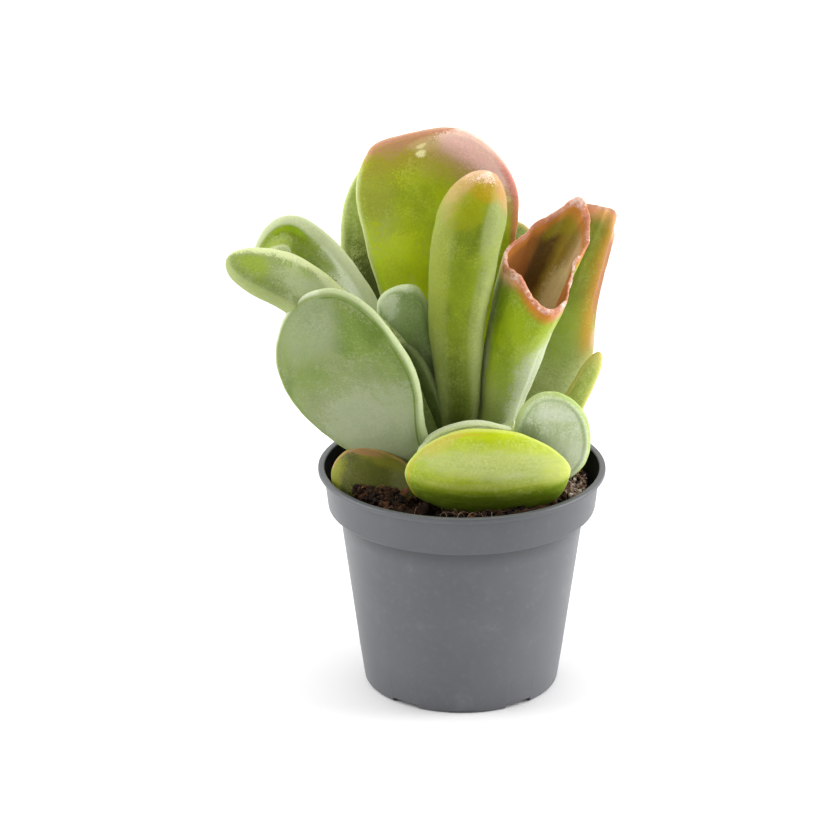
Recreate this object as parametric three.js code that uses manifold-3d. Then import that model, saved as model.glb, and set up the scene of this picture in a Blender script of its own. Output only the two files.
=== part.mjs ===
// Potted succulent: a young kalanchoe with paddle, finger and trumpet leaves in a small round nursery pot.
// Millimetres, +Z up. The pot stands on z = 0 with its axis on the Z axis, and the front faces -Y.
import * as THREE from "three";
import { mergeVertices } from "three/addons/utils/BufferGeometryUtils.js";
import Module from "manifold-3d";

const wasm = await Module();
wasm.setup();

// Driving dimensions of the pot
const RIM_RADIUS = 30.2;
const POT_HEIGHT = 48;
const LIP_DEPTH = 1.1;
const LIP_THICKNESS = 1.35;
const COLLAR_TOP_RADIUS = 28.95;
const COLLAR_FOOT_RADIUS = 28.05;
const COLLAR_FOOT_Z = 39;
const COLLAR_EDGE = 0.7;
const WALL_TOP_RADIUS = 25.8;
const WALL_FOOT_RADIUS = 20.55;
const WALL = 1.1;
const LEDGE_THICKNESS = 1.3;
const FLOOR_TOP_Z = 2.3;
const FOOT_GAP_HEIGHT = 1.0;
const FOOT_INNER_RADIUS = 17.6;
const FOOT_CORNER = 0.65;
const REST_PAD_RADIUS = 5;
const FOOT_GAP_ANGLES = [-126, -54, 54, 126];
const FOOT_GAP_WIDTH_DEG = 18;
const FOOT_NOTCH_ANGLES = [-90, 0, 90, 180];
const FOOT_NOTCH_WIDTH_DEG = 11;
const FOOT_NOTCH_HEIGHT = 0.35;
const DRAIN_RADIUS = 2;
const DRAIN_RING_RADIUS = 11;
const DRAIN_COUNT = 4;
const POT_SEGMENTS = 48;

// Driving dimensions of the soil and the stems
const CLEARANCE = 0.3;
const SOIL_TOP_Z = 43.6;
const SOIL_SEGMENTS = 40;
const SOIL_TOP_RINGS = [25.4, 21, 16, 11, 6];
const SOIL_WAVE = 0.66;
const SOIL_MOUNDS = [
  { x: -18.5, y: -13, reach: 7.5, height: 3.6 },
  { x: 13, y: -23.5, reach: 5, height: 2.2 },
  { x: 21, y: -8, reach: 6, height: 1.2 },
];
const STEM_SEGMENTS = 20;

const STEMS = [
  { name: "stem_main", x: -1, y: 2, radius: 3.1, from: 31, to: 60, colour: 0x8a8f5c },
  { name: "stem_right", x: 7.5, y: 4, radius: 2.8, from: 31, to: 52, colour: 0x8a8f5c },
  { name: "stem_front", x: 3.6, y: -6.2, radius: 2.4, from: 31, to: 48.5, colour: 0x8f8a58 },
];

// Leaf resolution
const BLADE_AROUND = 16;
const BLADE_ALONG = 13;
const TRUMPET_AROUND = 20;
const TRUMPET_ALONG = 10;
const PATH_STEPS = 16;
const MERGE_TOLERANCE = 1e-3;

// Each leaf runs along its spine from base to tip. left, right and thick are half widths and thicknesses
// at even steps along it. face is the way its upper side looks, cup how far its sides curl towards that side.
// A leaf with a lip is a trumpet: a hollow tube that ends on that closed line.
const LEAVES = [
  {
    name: "leaf_lime_front", colour: 0xb4c545,
    spine: [[4.3, -11.5, 42], [4.4, -16.5, 46.2], [4.3, -20, 53.8], [4.6, -19.5, 63.6]],
    left: [5.1, 13.4, 16.3, 17, 16.8], right: [7, 15.5, 18.1, 19.6, 18.7], thick: [5, 5, 4.6, 4.2, 3.6],
    face: [0, -1, 0.2], faceTip: [0, -1, 0.2], cup: [-0.25, -0.4], roundFrom: 0.45, round: 2, edge: 2.5,
  },
  {
    name: "leaf_right_round", colour: 0xa9bb8a,
    spine: [[9.1, -4, 46.1], [13.4, -9, 49.9], [16.8, -12, 57.8], [18.2, -14, 69.6]],
    left: [3.2, 5.5, 6.5, 7.2, 8], right: [2.9, 5.2, 9.4, 9.1, 8.7], thick: [4.4, 4, 3.6, 3.4, 3],
    face: [0.1, -1, 0.15], faceTip: [0.1, -1, 0.15], cup: [0.2, 0.2], roundFrom: 0.62, round: 2.1, edge: 2.5,
  },
  {
    name: "leaf_left_paddle", colour: 0x9fb087,
    spine: [[-6.6, -3, 47], [-13.6, -9, 58.7], [-22.9, -14, 76], [-29.3, -16, 92.5]],
    left: [3.5, 11.5, 16.2, 16.7, 14.5], right: [3, 6, 11.6, 12.5, 12.5], thick: [6, 5, 4.4, 4, 3.5],
    face: [-0.35, -0.93, 0], faceTip: [-0.35, -0.93, 0], cup: [0.1, -0.1], roundFrom: 0.6, round: 2.1, edge: 3,
  },
  {
    name: "leaf_front_finger", colour: 0x8f9f45,
    spine: [[0, 0, 46.9], [-0.9, -4, 63.7], [-0.9, -6, 81.6], [2, -7, 102.4], [5.4, -5, 114.1]],
    left: [3.4, 4.3, 5.9, 7.8, 7.3], right: [3.3, 4.5, 5.5, 6.3, 6.2], thick: [7, 9, 11, 11, 10],
    face: [0.1, -1, 0.1], faceTip: [0.1, -1, 0.1], cup: [0, 0], roundFrom: 0.84, round: 2, edge: 2.1,
  },
  {
    name: "leaf_front_trumpet", colour: 0x9bb04f,
    spine: [[4.4, -1, 46.7], [7.1, -2, 58.8], [10.6, -2, 74.4], [14, -1, 85], [17.3, 1, 94.1]],
    radius: [3.5, 4.3, 5.9, 6.9, 7.6], squash: 0.95, face: [-0.1, -1, 0.3],
    wall: 1.5, lipFrom: 0.55, funnelTo: 0.45,
    lip: [
      [14.7, -9.5, 87.6], [18.5, -8, 84.5], [21.6, -4, 85.2], [21.9, -1, 87.6], [23.8, 3, 92.1],
      [26.1, 6, 95.7], [26.1, 8.5, 99.7], [24, 10, 103.3], [19.5, 10.5, 100.7], [13.5, 9, 96.9],
      [9.5, 4, 94.6], [8.3, -3, 93.1], [11.4, -8.5, 92],
    ],
  },
  {
    name: "leaf_low_left", colour: 0x8d8c46,
    spine: [[-3.5, -8.5, 44], [-11, -10.5, 46.4], [-19.5, -10, 48.8], [-27, -6.5, 49.8]],
    left: [2.4, 4, 6, 6.4, 5.6], right: [2.4, 4, 6.4, 6.8, 5.6], thick: [4, 4, 3.8, 3.4, 2.8],
    face: [0, -1, 0.3], faceTip: [0, -1, 0.3], cup: [0, 0.2], roundFrom: 0.72, round: 2.1, edge: 2.5,
  },
  {
    name: "leaf_left_finger", colour: 0xa3b47d,
    spine: [[-2.4, 0, 47.8], [-13.3, -4, 70.2], [-27.1, -7, 84.3], [-35.2, -9, 92], [-48.2, -11, 97.2]],
    left: [3.1, 4.2, 5.5, 6.3, 6.3], right: [3.3, 4.4, 6, 5.3, 5.3], thick: [6, 7, 7.6, 7.6, 6.5],
    face: [0, -0.6, 0.8], faceTip: [0, -0.6, 0.8], cup: [0, 0], roundFrom: 0.8, round: 2.1, edge: 2.8,
  },
  {
    name: "leaf_back_trumpet", colour: 0x95a34a,
    spine: [[7.2, 5, 45.1], [13.3, 8.5, 54], [19, 12, 66], [21.6, 13.5, 79.5], [25.2, 14.5, 92.5]],
    radius: [3.8, 6.8, 8, 7, 6.3], squash: 0.62, face: [-0.2, -1, 0.3],
    wall: 1.5, lipFrom: 0.6, funnelTo: 0.5,
    lip: [
      [29.2, 11, 101], [32.3, 12, 99], [31.6, 15.5, 93.4], [29.8, 18.5, 88],
      [26.5, 20, 86.5], [22.8, 18.5, 90], [23.2, 15.5, 96.5], [25.6, 12, 101.2],
    ],
  },
  {
    name: "leaf_back_paddle", colour: 0x96a33c,
    spine: [[-1.7, 4, 46.2], [0, 9, 60.6], [-5.8, 12, 79.8], [-4.5, 10, 104.8], [-1.5, 4, 120.5]],
    left: [3.6, 6.4, 11.6, 17.8, 22.8], right: [5, 8.6, 15.9, 16.8, 16.9], thick: [6.5, 5, 4.2, 3.8, 3.4],
    face: [0.1, -1, 0.1], faceTip: [0.1, -1, 0.1], cup: [0.3, 0.35], roundFrom: 0.72, round: 2.1, edge: 2.5,
  },
  {
    name: "leaf_behind_lime", colour: 0xaebb86,
    spine: [[2.5, -3, 46.6], [2.9, -9, 51.6], [0.7, -12, 56.3], [-0.8, -12, 62.2]],
    left: [3.7, 8.6, 10.5, 12.3, 12.4], right: [4.1, 9.2, 11.3, 12.6, 11.2], thick: [4, 4, 3.6, 3.4, 3],
    face: [0, -1, 0.2], faceTip: [0, -1, 0.2], cup: [-0.3, -0.4], roundFrom: 0.45, round: 2.1, edge: 2.5,
  },
  {
    name: "leaf_small_grey", colour: 0x8c9d78,
    spine: [[-2.1, 3, 47.3], [-4.1, 1, 61.8], [-10, 0, 75.4], [-11.1, 0, 88.1]],
    left: [3, 4, 5.2, 6.1, 9.3], right: [3, 4, 4.9, 4.4, 4.6], thick: [6, 6.2, 6.2, 6, 5.2],
    face: [-0.1, -1, 0], faceTip: [-0.1, -1, 0], cup: [0, 0], roundFrom: 0.76, round: 2.1, edge: 2.4,
  },
  {
    name: "leaf_thin_middle", colour: 0x4f6130,
    spine: [[-3.2, -1.5, 50], [-6, -4, 62.5], [-9.4, -5.4, 71.8], [-12, -5.8, 77]],
    left: [2, 2.4, 2.8, 2.8, 2.4], right: [2, 2.4, 2.8, 2.8, 2.4], thick: [3, 3, 2.8, 2.6, 2.2],
    face: [-0.6, -0.8, 0], faceTip: [-0.6, -0.8, 0], cup: [0.1, 0.1], roundFrom: 0.75, round: 2.1, edge: 2.4,
  },
  {
    name: "leaf_upper_left_spoon", colour: 0x9db45e,
    spine: [[-2.2, 4, 47.9], [-14.7, 7, 69.2], [-23.5, 8, 84.3], [-34.7, 7, 96.4], [-42.9, 5, 93.4]],
    left: [3, 4, 5.5, 6.5, 5.5], right: [2.6, 3, 3.4, 5.2, 3.9], thick: [5, 4.6, 4.4, 4.2, 3.8],
    face: [-0.3, -0.85, 0.3], faceTip: [-0.5, -0.85, 0.3], cup: [0.5, 1.2], roundFrom: 0.75, round: 2.1, edge: 2.5,
  },
  {
    name: "leaf_back_left_paddle", colour: 0x9bab7a,
    spine: [[-2.5, 9, 45.4], [-11.6, 15, 63.5], [-18.3, 18, 82.7], [-19.1, 18, 95.5], [-18.6, 16, 109.7]],
    left: [2.9, 3.8, 5.7, 6.8, 6.4], right: [3, 4, 6, 7, 6.5], thick: [5, 4.5, 4, 3.6, 3.2],
    face: [0.3, -1, 0.1], faceTip: [0.3, -1, 0.1], cup: [0.3, 0.3], roundFrom: 0.75, round: 2.1, edge: 2.5,
  },
  {
    name: "leaf_right_tip", colour: 0xa9a850,
    spine: [[10, -0.5, 46.5], [15.5, -1.5, 51.5], [22.4, 0.5, 60.5], [28.9, 5, 71.2]],
    left: [2.2, 2.6, 2.8, 2.2, 1.6], right: [2.2, 2.6, 2.8, 2.2, 1.6], thick: [4, 3.6, 3.2, 2.8, 2.4],
    face: [0.2, -1, 0.4], faceTip: [0.2, -1, 0.4], cup: [0.3, 0.3], roundFrom: 0.85, round: 2, edge: 2.4,
  },
  {
    name: "leaf_rear_paddle", colour: 0x93a564,
    spine: [[3, 8, 46], [6, 17, 60], [9, 25, 77], [9, 28, 93]],
    left: [3.4, 7, 11, 11.5, 10.5], right: [3.4, 7, 11, 11.5, 10.5], thick: [5.6, 4.8, 4.2, 3.8, 3.2],
    face: [0.1, 1, 0.2], faceTip: [0.1, 1, 0.2], cup: [0.2, 0.25], roundFrom: 0.62, round: 2.1, edge: 2.5,
  },
  {
    name: "leaf_rear_finger", colour: 0x97a96f,
    spine: [[-3.6, 8, 46.5], [-8, 19, 58], [-12, 27, 71], [-14, 30, 84]],
    left: [3.2, 4, 4.8, 5.2, 4.8], right: [3.2, 4, 4.8, 5.2, 4.8], thick: [6, 7, 8, 8, 7],
    face: [0.2, 1, 0.1], faceTip: [0.2, 1, 0.1], cup: [0, 0], roundFrom: 0.82, round: 2, edge: 2.1,
  },
  {
    name: "leaf_rear_round_left", colour: 0xa4b484,
    spine: [[-5.4, 5, 46], [-12, 12, 49.5], [-17, 16.5, 57], [-19, 18, 66]],
    left: [3, 5.4, 7.6, 7.8, 7.4], right: [3, 5.4, 7.6, 7.8, 7.4], thick: [4.4, 4, 3.6, 3.4, 3],
    face: [-0.6, 0.8, 0.2], faceTip: [-0.6, 0.8, 0.2], cup: [0.2, 0.2], roundFrom: 0.6, round: 2.1, edge: 2.5,
  },
  {
    name: "leaf_rear_round_right", colour: 0xadbb80,
    spine: [[7, 9.5, 46], [12, 16, 49.5], [15.4, 20, 57], [17, 21.5, 66]],
    left: [3, 5.4, 7.8, 8, 7.6], right: [3, 5.4, 7.8, 8, 7.6], thick: [4.4, 4, 3.6, 3.4, 3],
    face: [0.5, 0.8, 0.2], faceTip: [0.5, 0.8, 0.2], cup: [0.2, 0.2], roundFrom: 0.6, round: 2.1, edge: 2.5,
  },
];

function manifoldOf(geometry) {
  const bare = geometry.clone();
  bare.deleteAttribute("normal");
  bare.deleteAttribute("uv");
  const merged = mergeVertices(bare, MERGE_TOLERANCE);
  return new wasm.Manifold(new wasm.Mesh({
    numProp: 3,
    vertProperties: new Float32Array(merged.attributes.position.array),
    triVerts: new Uint32Array(merged.index.array),
  }));
}

function geometryOf(solid) {
  const mesh = solid.getMesh();
  const geometry = new THREE.BufferGeometry();
  const points = new Float32Array(mesh.numVert * 3);
  for (let i = 0; i < mesh.numVert; i++) {
    for (let k = 0; k < 3; k++) {
      points[i * 3 + k] = mesh.vertProperties[i * mesh.numProp + k];
    }
  }
  geometry.setAttribute("position", new THREE.BufferAttribute(points, 3));
  geometry.setIndex(new THREE.BufferAttribute(new Uint32Array(mesh.triVerts), 1));
  geometry.computeVertexNormals();
  return geometry;
}

// Only the main body of a leaf stays when its neighbours cut slivers off its base.
function largestBody(solid) {
  let best = null;
  for (const body of manifoldOf(geometryOf(solid)).decompose()) {
    if (!best || body.volume() > best.volume()) {
      best = body;
    }
  }
  return best;
}

function boxesMeet(a, b) {
  const first = a.boundingBox();
  const second = b.boundingBox();
  for (let k = 0; k < 3; k++) {
    if (first.max[k] < second.min[k] || second.max[k] < first.min[k]) {
      return false;
    }
  }
  return true;
}

// A smooth line through a few points, sampled densely, with the length run up to each sample.
function smoothPath(points) {
  const ends = [
    points[0].map((value, k) => 2 * value - points[1][k]),
    ...points,
    points.at(-1).map((value, k) => 2 * value - points.at(-2)[k]),
  ];
  const samples = [];
  for (let i = 0; i + 1 < points.length; i++) {
    for (let step = 0; step < PATH_STEPS; step++) {
      const s = step / PATH_STEPS;
      samples.push(new THREE.Vector3(...[0, 1, 2].map(
        (k) => smoothValue(ends[i][k], ends[i + 1][k], ends[i + 2][k], ends[i + 3][k], s),
      )));
    }
  }
  samples.push(new THREE.Vector3(...points.at(-1)));
  const run = [0];
  for (let i = 1; i < samples.length; i++) {
    run.push(run[i - 1] + samples[i].distanceTo(samples[i - 1]));
  }
  return { samples, run };
}

function smoothValue(a, b, c, d, s) {
  const linear = c - a;
  const square = 2 * a - 5 * b + 4 * c - d;
  const cube = 3 * b - a - 3 * c + d;
  return 0.5 * (2 * b + linear * s + square * s * s + cube * s * s * s);
}

function pointOn(path, t) {
  const length = Math.min(Math.max(t, 0), 1) * path.run.at(-1);
  let i = 1;
  while (i < path.run.length - 1 && path.run[i] < length) {
    i++;
  }
  const share = (length - path.run[i - 1]) / (path.run[i] - path.run[i - 1]);
  return path.samples[i - 1].clone().lerp(path.samples[i], share);
}

function frameOn(path, t, face) {
  const reach = 0.03;
  const ahead = pointOn(path, t + reach);
  const tangent = ahead.sub(pointOn(path, t - reach)).normalize();
  const up = face.clone().addScaledVector(tangent, -face.dot(tangent)).normalize();
  const side = new THREE.Vector3().crossVectors(tangent, up);
  return { tangent, up, side };
}

function stationValue(stations, t) {
  const last = stations.length - 1;
  const i = Math.min(Math.floor(t * last), last - 1);
  return smoothValue(
    stations[Math.max(i - 1, 0)], stations[i], stations[i + 1], stations[Math.min(i + 2, last)], t * last - i,
  );
}

function tipClosing(t, start, power) {
  if (t <= start) {
    return 1;
  }
  const x = (t - start) / (1 - start);
  return Math.pow(Math.max(0, 1 - Math.pow(x, power)), 1 / power);
}

function signedPower(value, power) {
  return Math.sign(value) * Math.pow(Math.abs(value), power);
}

// Rings of points joined into one closed skin with a flat fan on each end.
function skinOf(rings) {
  const around = rings[0].length;
  const points = rings.flat();
  const first = points.length;
  const middle = (ring) => ring.reduce((sum, p) => sum.add(p), new THREE.Vector3()).divideScalar(around);
  points.push(middle(rings[0]), middle(rings.at(-1)));
  const faces = [];
  for (let i = 0; i + 1 < rings.length; i++) {
    for (let k = 0; k < around; k++) {
      const next = (k + 1) % around;
      const a = i * around + k;
      const b = i * around + next;
      faces.push(a, b, b + around, a, b + around, a + around);
    }
  }
  const top = (rings.length - 1) * around;
  for (let k = 0; k < around; k++) {
    const next = (k + 1) % around;
    faces.push(first, next, k, first + 1, top + k, top + next);
  }
  const geometry = new THREE.BufferGeometry();
  geometry.setAttribute("position", new THREE.Float32BufferAttribute(points.flatMap((p) => p.toArray()), 3));
  geometry.setIndex(faces);
  return geometry;
}

// A swollen leaf also reaches past both ends of its spine.
function endShift(i, count, grow) {
  if (i === 0) {
    return -grow;
  }
  return i === count - 1 ? grow : 0;
}

// grow swells a leaf on every side, to cut a clear gap around it out of its neighbours.
function bladeRings(leaf, grow) {
  const path = smoothPath(leaf.spine);
  const face = new THREE.Vector3(...leaf.face);
  const faceTip = new THREE.Vector3(...leaf.faceTip);
  const straight = Math.round(BLADE_ALONG * 0.55);
  const closing = BLADE_ALONG - straight;
  const places = [];
  for (let i = 0; i < straight; i++) {
    places.push(leaf.roundFrom * i / straight);
  }
  for (let i = 0; i < closing; i++) {
    places.push(leaf.roundFrom + (1 - leaf.roundFrom) * Math.sin(Math.PI / 2 * i / closing));
  }
  places.push(0.996);
  return places.map((t, i) => {
    const closed = tipClosing(t, leaf.roundFrom, leaf.round);
    const left = stationValue(leaf.left, t) * closed + grow;
    const right = stationValue(leaf.right, t) * closed + grow;
    const half = stationValue(leaf.thick, t) / 2 * tipClosing(t, leaf.roundFrom, 2.6) + grow;
    const { tangent, up, side } = frameOn(path, t, face.clone().lerp(faceTip, t));
    const centre = pointOn(path, t).addScaledVector(tangent, endShift(i, places.length, grow));
    const cup = leaf.cup[0] * (1 - t) + leaf.cup[1] * t + 1e-5;
    const ring = [];
    for (let k = 0; k < BLADE_AROUND; k++) {
      const angle = -2 * Math.PI * k / BLADE_AROUND;
      const across = signedPower(Math.cos(angle), 2 / leaf.edge);
      const lift = signedPower(Math.sin(angle), 2 / leaf.edge) * half;
      const reach = across > 0 ? right : left;
      const bend = cup * across;
      const sideways = reach * Math.sin(bend) / cup - lift * Math.sin(bend);
      const upwards = reach * (1 - Math.cos(bend)) / Math.abs(cup) * Math.sign(cup) + lift * Math.cos(bend);
      ring.push(centre.clone().addScaledVector(side, sideways).addScaledVector(up, upwards));
    }
    return ring;
  });
}

function lipPoint(lip, share) {
  const n = lip.length;
  const i = Math.floor(share * n) % n;
  const s = share * n - Math.floor(share * n);
  return new THREE.Vector3(...[0, 1, 2].map(
    (k) => smoothValue(lip[(i + n - 1) % n][k], lip[i][k], lip[(i + 1) % n][k], lip[(i + 2) % n][k], s),
  ));
}

function trumpetRings(leaf, grow) {
  const path = smoothPath(leaf.spine);
  const face = new THREE.Vector3(...leaf.face);
  const tube = (s, k) => {
    const { up, side } = frameOn(path, s, face);
    const radius = stationValue(leaf.radius, s) + grow;
    const angle = 2 * Math.PI * k / TRUMPET_AROUND;
    return pointOn(path, s)
      .addScaledVector(up, radius * leaf.squash * Math.cos(angle))
      .addScaledVector(side, radius * Math.sin(angle));
  };
  const indices = [...Array(TRUMPET_AROUND).keys()];
  const toLip = indices.map((k) => lipPoint(leaf.lip, k / TRUMPET_AROUND).sub(tube(1, k)));
  const outer = (s) => {
    const x = Math.max(0, (s - leaf.lipFrom) / (1 - leaf.lipFrom));
    const share = 0.5 * x + 0.5 * x * x * (3 - 2 * x);
    return indices.map((k) => tube(s, k).addScaledVector(toLip[k], share));
  };
  const rings = [];
  for (let i = 0; i <= TRUMPET_ALONG; i++) {
    const { tangent } = frameOn(path, i / TRUMPET_ALONG, face);
    const shift = endShift(i, TRUMPET_ALONG + 1, grow);
    rings.push(outer(i / TRUMPET_ALONG).map((p) => p.addScaledVector(tangent, shift)));
  }
  if (grow > 0) {
    return rings;
  }
  const inside = Math.round(TRUMPET_ALONG * 0.6);
  for (let i = 0; i <= inside; i++) {
    const x = i / inside;
    const ring = outer(1 - (1 - leaf.funnelTo) * x);
    const centre = ring.reduce((sum, p) => sum.add(p), new THREE.Vector3()).divideScalar(TRUMPET_AROUND);
    const shrink = Math.sqrt(Math.max(1 - x * x * x, 0.004));
    rings.push(ring.map((p) => {
      const share = Math.max(1 - leaf.wall / p.distanceTo(centre), 0.1) * shrink;
      return centre.clone().addScaledVector(p.clone().sub(centre), share);
    }));
  }
  return rings;
}

function leafSolid(leaf, grow) {
  return manifoldOf(skinOf(leaf.lip ? trumpetRings(leaf, grow) : bladeRings(leaf, grow)));
}

// A closed profile in (radius, height), turned about the Z axis.
function turned(profile, segments) {
  const geometry = new THREE.LatheGeometry(profile.map(([r, z]) => new THREE.Vector2(r, z)), segments);
  geometry.rotateX(Math.PI / 2);
  return geometry;
}

// A wedge as seen from above, standing on the ground, that cuts one gap out of the foot ring.
function footWedge(angle, width, height) {
  const shape = new THREE.Shape();
  const inner = FOOT_INNER_RADIUS - 1.5;
  const outer = RIM_RADIUS;
  const half = THREE.MathUtils.degToRad(width / 2);
  const middle = THREE.MathUtils.degToRad(angle);
  const corners = [[inner, -half], [outer, -half], [outer, half], [inner, half]];
  corners.forEach(([r, turn], i) => {
    const x = r * Math.cos(middle + turn);
    const y = r * Math.sin(middle + turn);
    if (i === 0) {
      shape.moveTo(x, y);
    } else {
      shape.lineTo(x, y);
    }
  });
  shape.closePath();
  const geometry = new THREE.ExtrudeGeometry(shape, { depth: height + 1, bevelEnabled: false });
  geometry.translate(0, 0, -1);
  return manifoldOf(geometry);
}

function standingRod(x, y, radius, from, to, segments) {
  const geometry = new THREE.CylinderGeometry(radius, radius, to - from, segments);
  geometry.rotateX(Math.PI / 2);
  geometry.translate(x, y, (from + to) / 2);
  return manifoldOf(geometry);
}

function wallRadius(z) {
  return WALL_FOOT_RADIUS + (WALL_TOP_RADIUS - WALL_FOOT_RADIUS) * z / COLLAR_FOOT_Z;
}

function potSolid() {
  const lipFoot = POT_HEIGHT - LIP_DEPTH;
  const innerTop = RIM_RADIUS - LIP_THICKNESS;
  const ledgeTop = COLLAR_FOOT_Z + LEDGE_THICKNESS;
  const profile = [
    [0, 0], [REST_PAD_RADIUS, 0], [REST_PAD_RADIUS + 0.6, FOOT_GAP_HEIGHT],
    [FOOT_INNER_RADIUS, FOOT_GAP_HEIGHT], [FOOT_INNER_RADIUS + 0.4, 0],
    [WALL_FOOT_RADIUS - FOOT_CORNER, 0], [wallRadius(FOOT_CORNER * 0.3), FOOT_CORNER * 0.35],
    [wallRadius(FOOT_CORNER * 1.6), FOOT_CORNER * 1.6],
    [wallRadius(COLLAR_FOOT_Z - 0.9), COLLAR_FOOT_Z - 0.9], [WALL_TOP_RADIUS + 0.7, COLLAR_FOOT_Z - 0.1],
    [COLLAR_FOOT_RADIUS - COLLAR_EDGE, COLLAR_FOOT_Z], [COLLAR_FOOT_RADIUS, COLLAR_FOOT_Z + COLLAR_EDGE],
    [COLLAR_TOP_RADIUS, lipFoot - 0.3], [RIM_RADIUS - 0.35, lipFoot],
    [RIM_RADIUS, lipFoot + 0.35], [RIM_RADIUS, POT_HEIGHT - 0.35], [RIM_RADIUS - 0.35, POT_HEIGHT],
    [innerTop + 0.3, POT_HEIGHT], [innerTop, POT_HEIGHT - 0.3],
    [COLLAR_FOOT_RADIUS - WALL, ledgeTop + 0.4], [WALL_TOP_RADIUS - WALL, ledgeTop],
    [wallRadius(FLOOR_TOP_Z) - WALL, FLOOR_TOP_Z], [0, FLOOR_TOP_Z],
  ];
  let solid = manifoldOf(turned(profile, POT_SEGMENTS));
  for (const angle of FOOT_GAP_ANGLES) {
    solid = solid.subtract(footWedge(angle, FOOT_GAP_WIDTH_DEG, FOOT_GAP_HEIGHT));
  }
  for (const angle of FOOT_NOTCH_ANGLES) {
    solid = solid.subtract(footWedge(angle, FOOT_NOTCH_WIDTH_DEG, FOOT_NOTCH_HEIGHT));
  }
  for (let i = 0; i < DRAIN_COUNT; i++) {
    const angle = 2 * Math.PI * i / DRAIN_COUNT;
    const x = DRAIN_RING_RADIUS * Math.cos(angle);
    const y = DRAIN_RING_RADIUS * Math.sin(angle);
    solid = solid.subtract(standingRod(x, y, DRAIN_RADIUS, -1, FLOOR_TOP_Z + 1, 16));
  }
  return solid;
}

// The soil lies uneven: slow waves, and a few low mounds.
function soilHeight(x, y) {
  const waves = Math.sin(x * 0.31 + 0.8) * Math.cos(y * 0.27 - 0.5) + 0.5 * Math.sin(x * 0.11 - y * 0.47);
  let mounds = 0;
  for (const mound of SOIL_MOUNDS) {
    const square = (x - mound.x) ** 2 + (y - mound.y) ** 2;
    mounds += mound.height * Math.exp(-square / mound.reach ** 2);
  }
  return SOIL_TOP_Z + SOIL_WAVE * waves + mounds;
}

function soilSolid() {
  const ledgeTop = COLLAR_FOOT_Z + LEDGE_THICKNESS + CLEARANCE;
  const bottom = FLOOR_TOP_Z + CLEARANCE;
  const inside = WALL + CLEARANCE;
  const edge = COLLAR_FOOT_RADIUS - inside + 0.2;
  const profile = [
    [0, bottom], [wallRadius(bottom) - inside, bottom], [WALL_TOP_RADIUS - inside, ledgeTop],
    [COLLAR_FOOT_RADIUS - inside - 0.2, ledgeTop + 0.4], [edge, SOIL_TOP_Z - 1.6],
    ...SOIL_TOP_RINGS.map((r) => [r, SOIL_TOP_Z]), [0, SOIL_TOP_Z],
  ];
  const geometry = turned(profile, SOIL_SEGMENTS);
  const position = geometry.attributes.position;
  for (let i = 0; i < position.count; i++) {
    if (position.getZ(i) > SOIL_TOP_Z - 0.01) {
      position.setZ(i, soilHeight(position.getX(i), position.getY(i)));
    }
  }
  return manifoldOf(geometry);
}

function stemProfile(radius, from, to) {
  return [
    [0, from], [radius * 0.55, from], [radius, from + 1.5], [radius, to - 1.6], [radius * 0.72, to - 0.4], [0, to],
  ];
}

function stemSolid(stem, grow) {
  const profile = stemProfile(stem.radius + grow, stem.from - grow, stem.to + grow);
  const geometry = turned(profile, STEM_SEGMENTS);
  geometry.translate(stem.x, stem.y, 0);
  return manifoldOf(geometry);
}

const group = new THREE.Group();
group.name = "potted_kalanchoe";

function addNode(name, solid, colour, roughness) {
  const material = new THREE.MeshStandardMaterial({ color: colour, roughness, metalness: 0 });
  const mesh = new THREE.Mesh(geometryOf(solid), material);
  mesh.name = name;
  group.add(mesh);
}

const pot = potSolid();
const stemCutters = STEMS.map((stem) => stemSolid(stem, CLEARANCE));

// Leaves are listed front first. Each one is cut clear of the stems, the pot and the leaves before it.
const leafCutters = [];
const leafSolids = LEAVES.map((leaf) => {
  let solid = leafSolid(leaf, 0);
  for (const cutter of [...stemCutters, ...leafCutters]) {
    if (boxesMeet(solid, cutter)) {
      solid = solid.subtract(cutter);
    }
  }
  leafCutters.push(leafSolid(leaf, CLEARANCE));
  return largestBody(solid.subtract(pot));
});

let soil = soilSolid();
for (const cutter of [...stemCutters, ...leafCutters]) {
  if (boxesMeet(soil, cutter)) {
    soil = soil.subtract(cutter);
  }
}

addNode("pot", pot, 0x66686a, 0.55);
addNode("soil", largestBody(soil), 0x3a271c, 0.95);
STEMS.forEach((stem) => addNode(stem.name, stemSolid(stem, 0), stem.colour, 0.7));
LEAVES.forEach((leaf, i) => addNode(leaf.name, leafSolids[i], leaf.colour, 0.5));

export default group;
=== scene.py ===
import itertools
import math

import bpy
import numpy as np
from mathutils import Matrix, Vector, noise


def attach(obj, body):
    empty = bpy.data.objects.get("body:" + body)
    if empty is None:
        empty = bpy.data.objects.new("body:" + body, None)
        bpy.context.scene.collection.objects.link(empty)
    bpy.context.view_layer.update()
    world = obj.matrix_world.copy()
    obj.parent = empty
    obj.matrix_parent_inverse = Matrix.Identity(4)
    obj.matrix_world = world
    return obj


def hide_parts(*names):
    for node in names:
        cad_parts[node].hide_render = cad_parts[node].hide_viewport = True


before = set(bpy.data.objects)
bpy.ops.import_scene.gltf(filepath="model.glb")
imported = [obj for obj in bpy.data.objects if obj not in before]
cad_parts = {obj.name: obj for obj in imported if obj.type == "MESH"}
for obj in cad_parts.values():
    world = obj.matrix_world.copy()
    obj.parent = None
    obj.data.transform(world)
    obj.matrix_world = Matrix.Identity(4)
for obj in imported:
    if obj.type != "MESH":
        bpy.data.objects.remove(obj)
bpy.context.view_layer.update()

MM = 0.001
SEED = 20
rng = np.random.default_rng(SEED)

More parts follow.
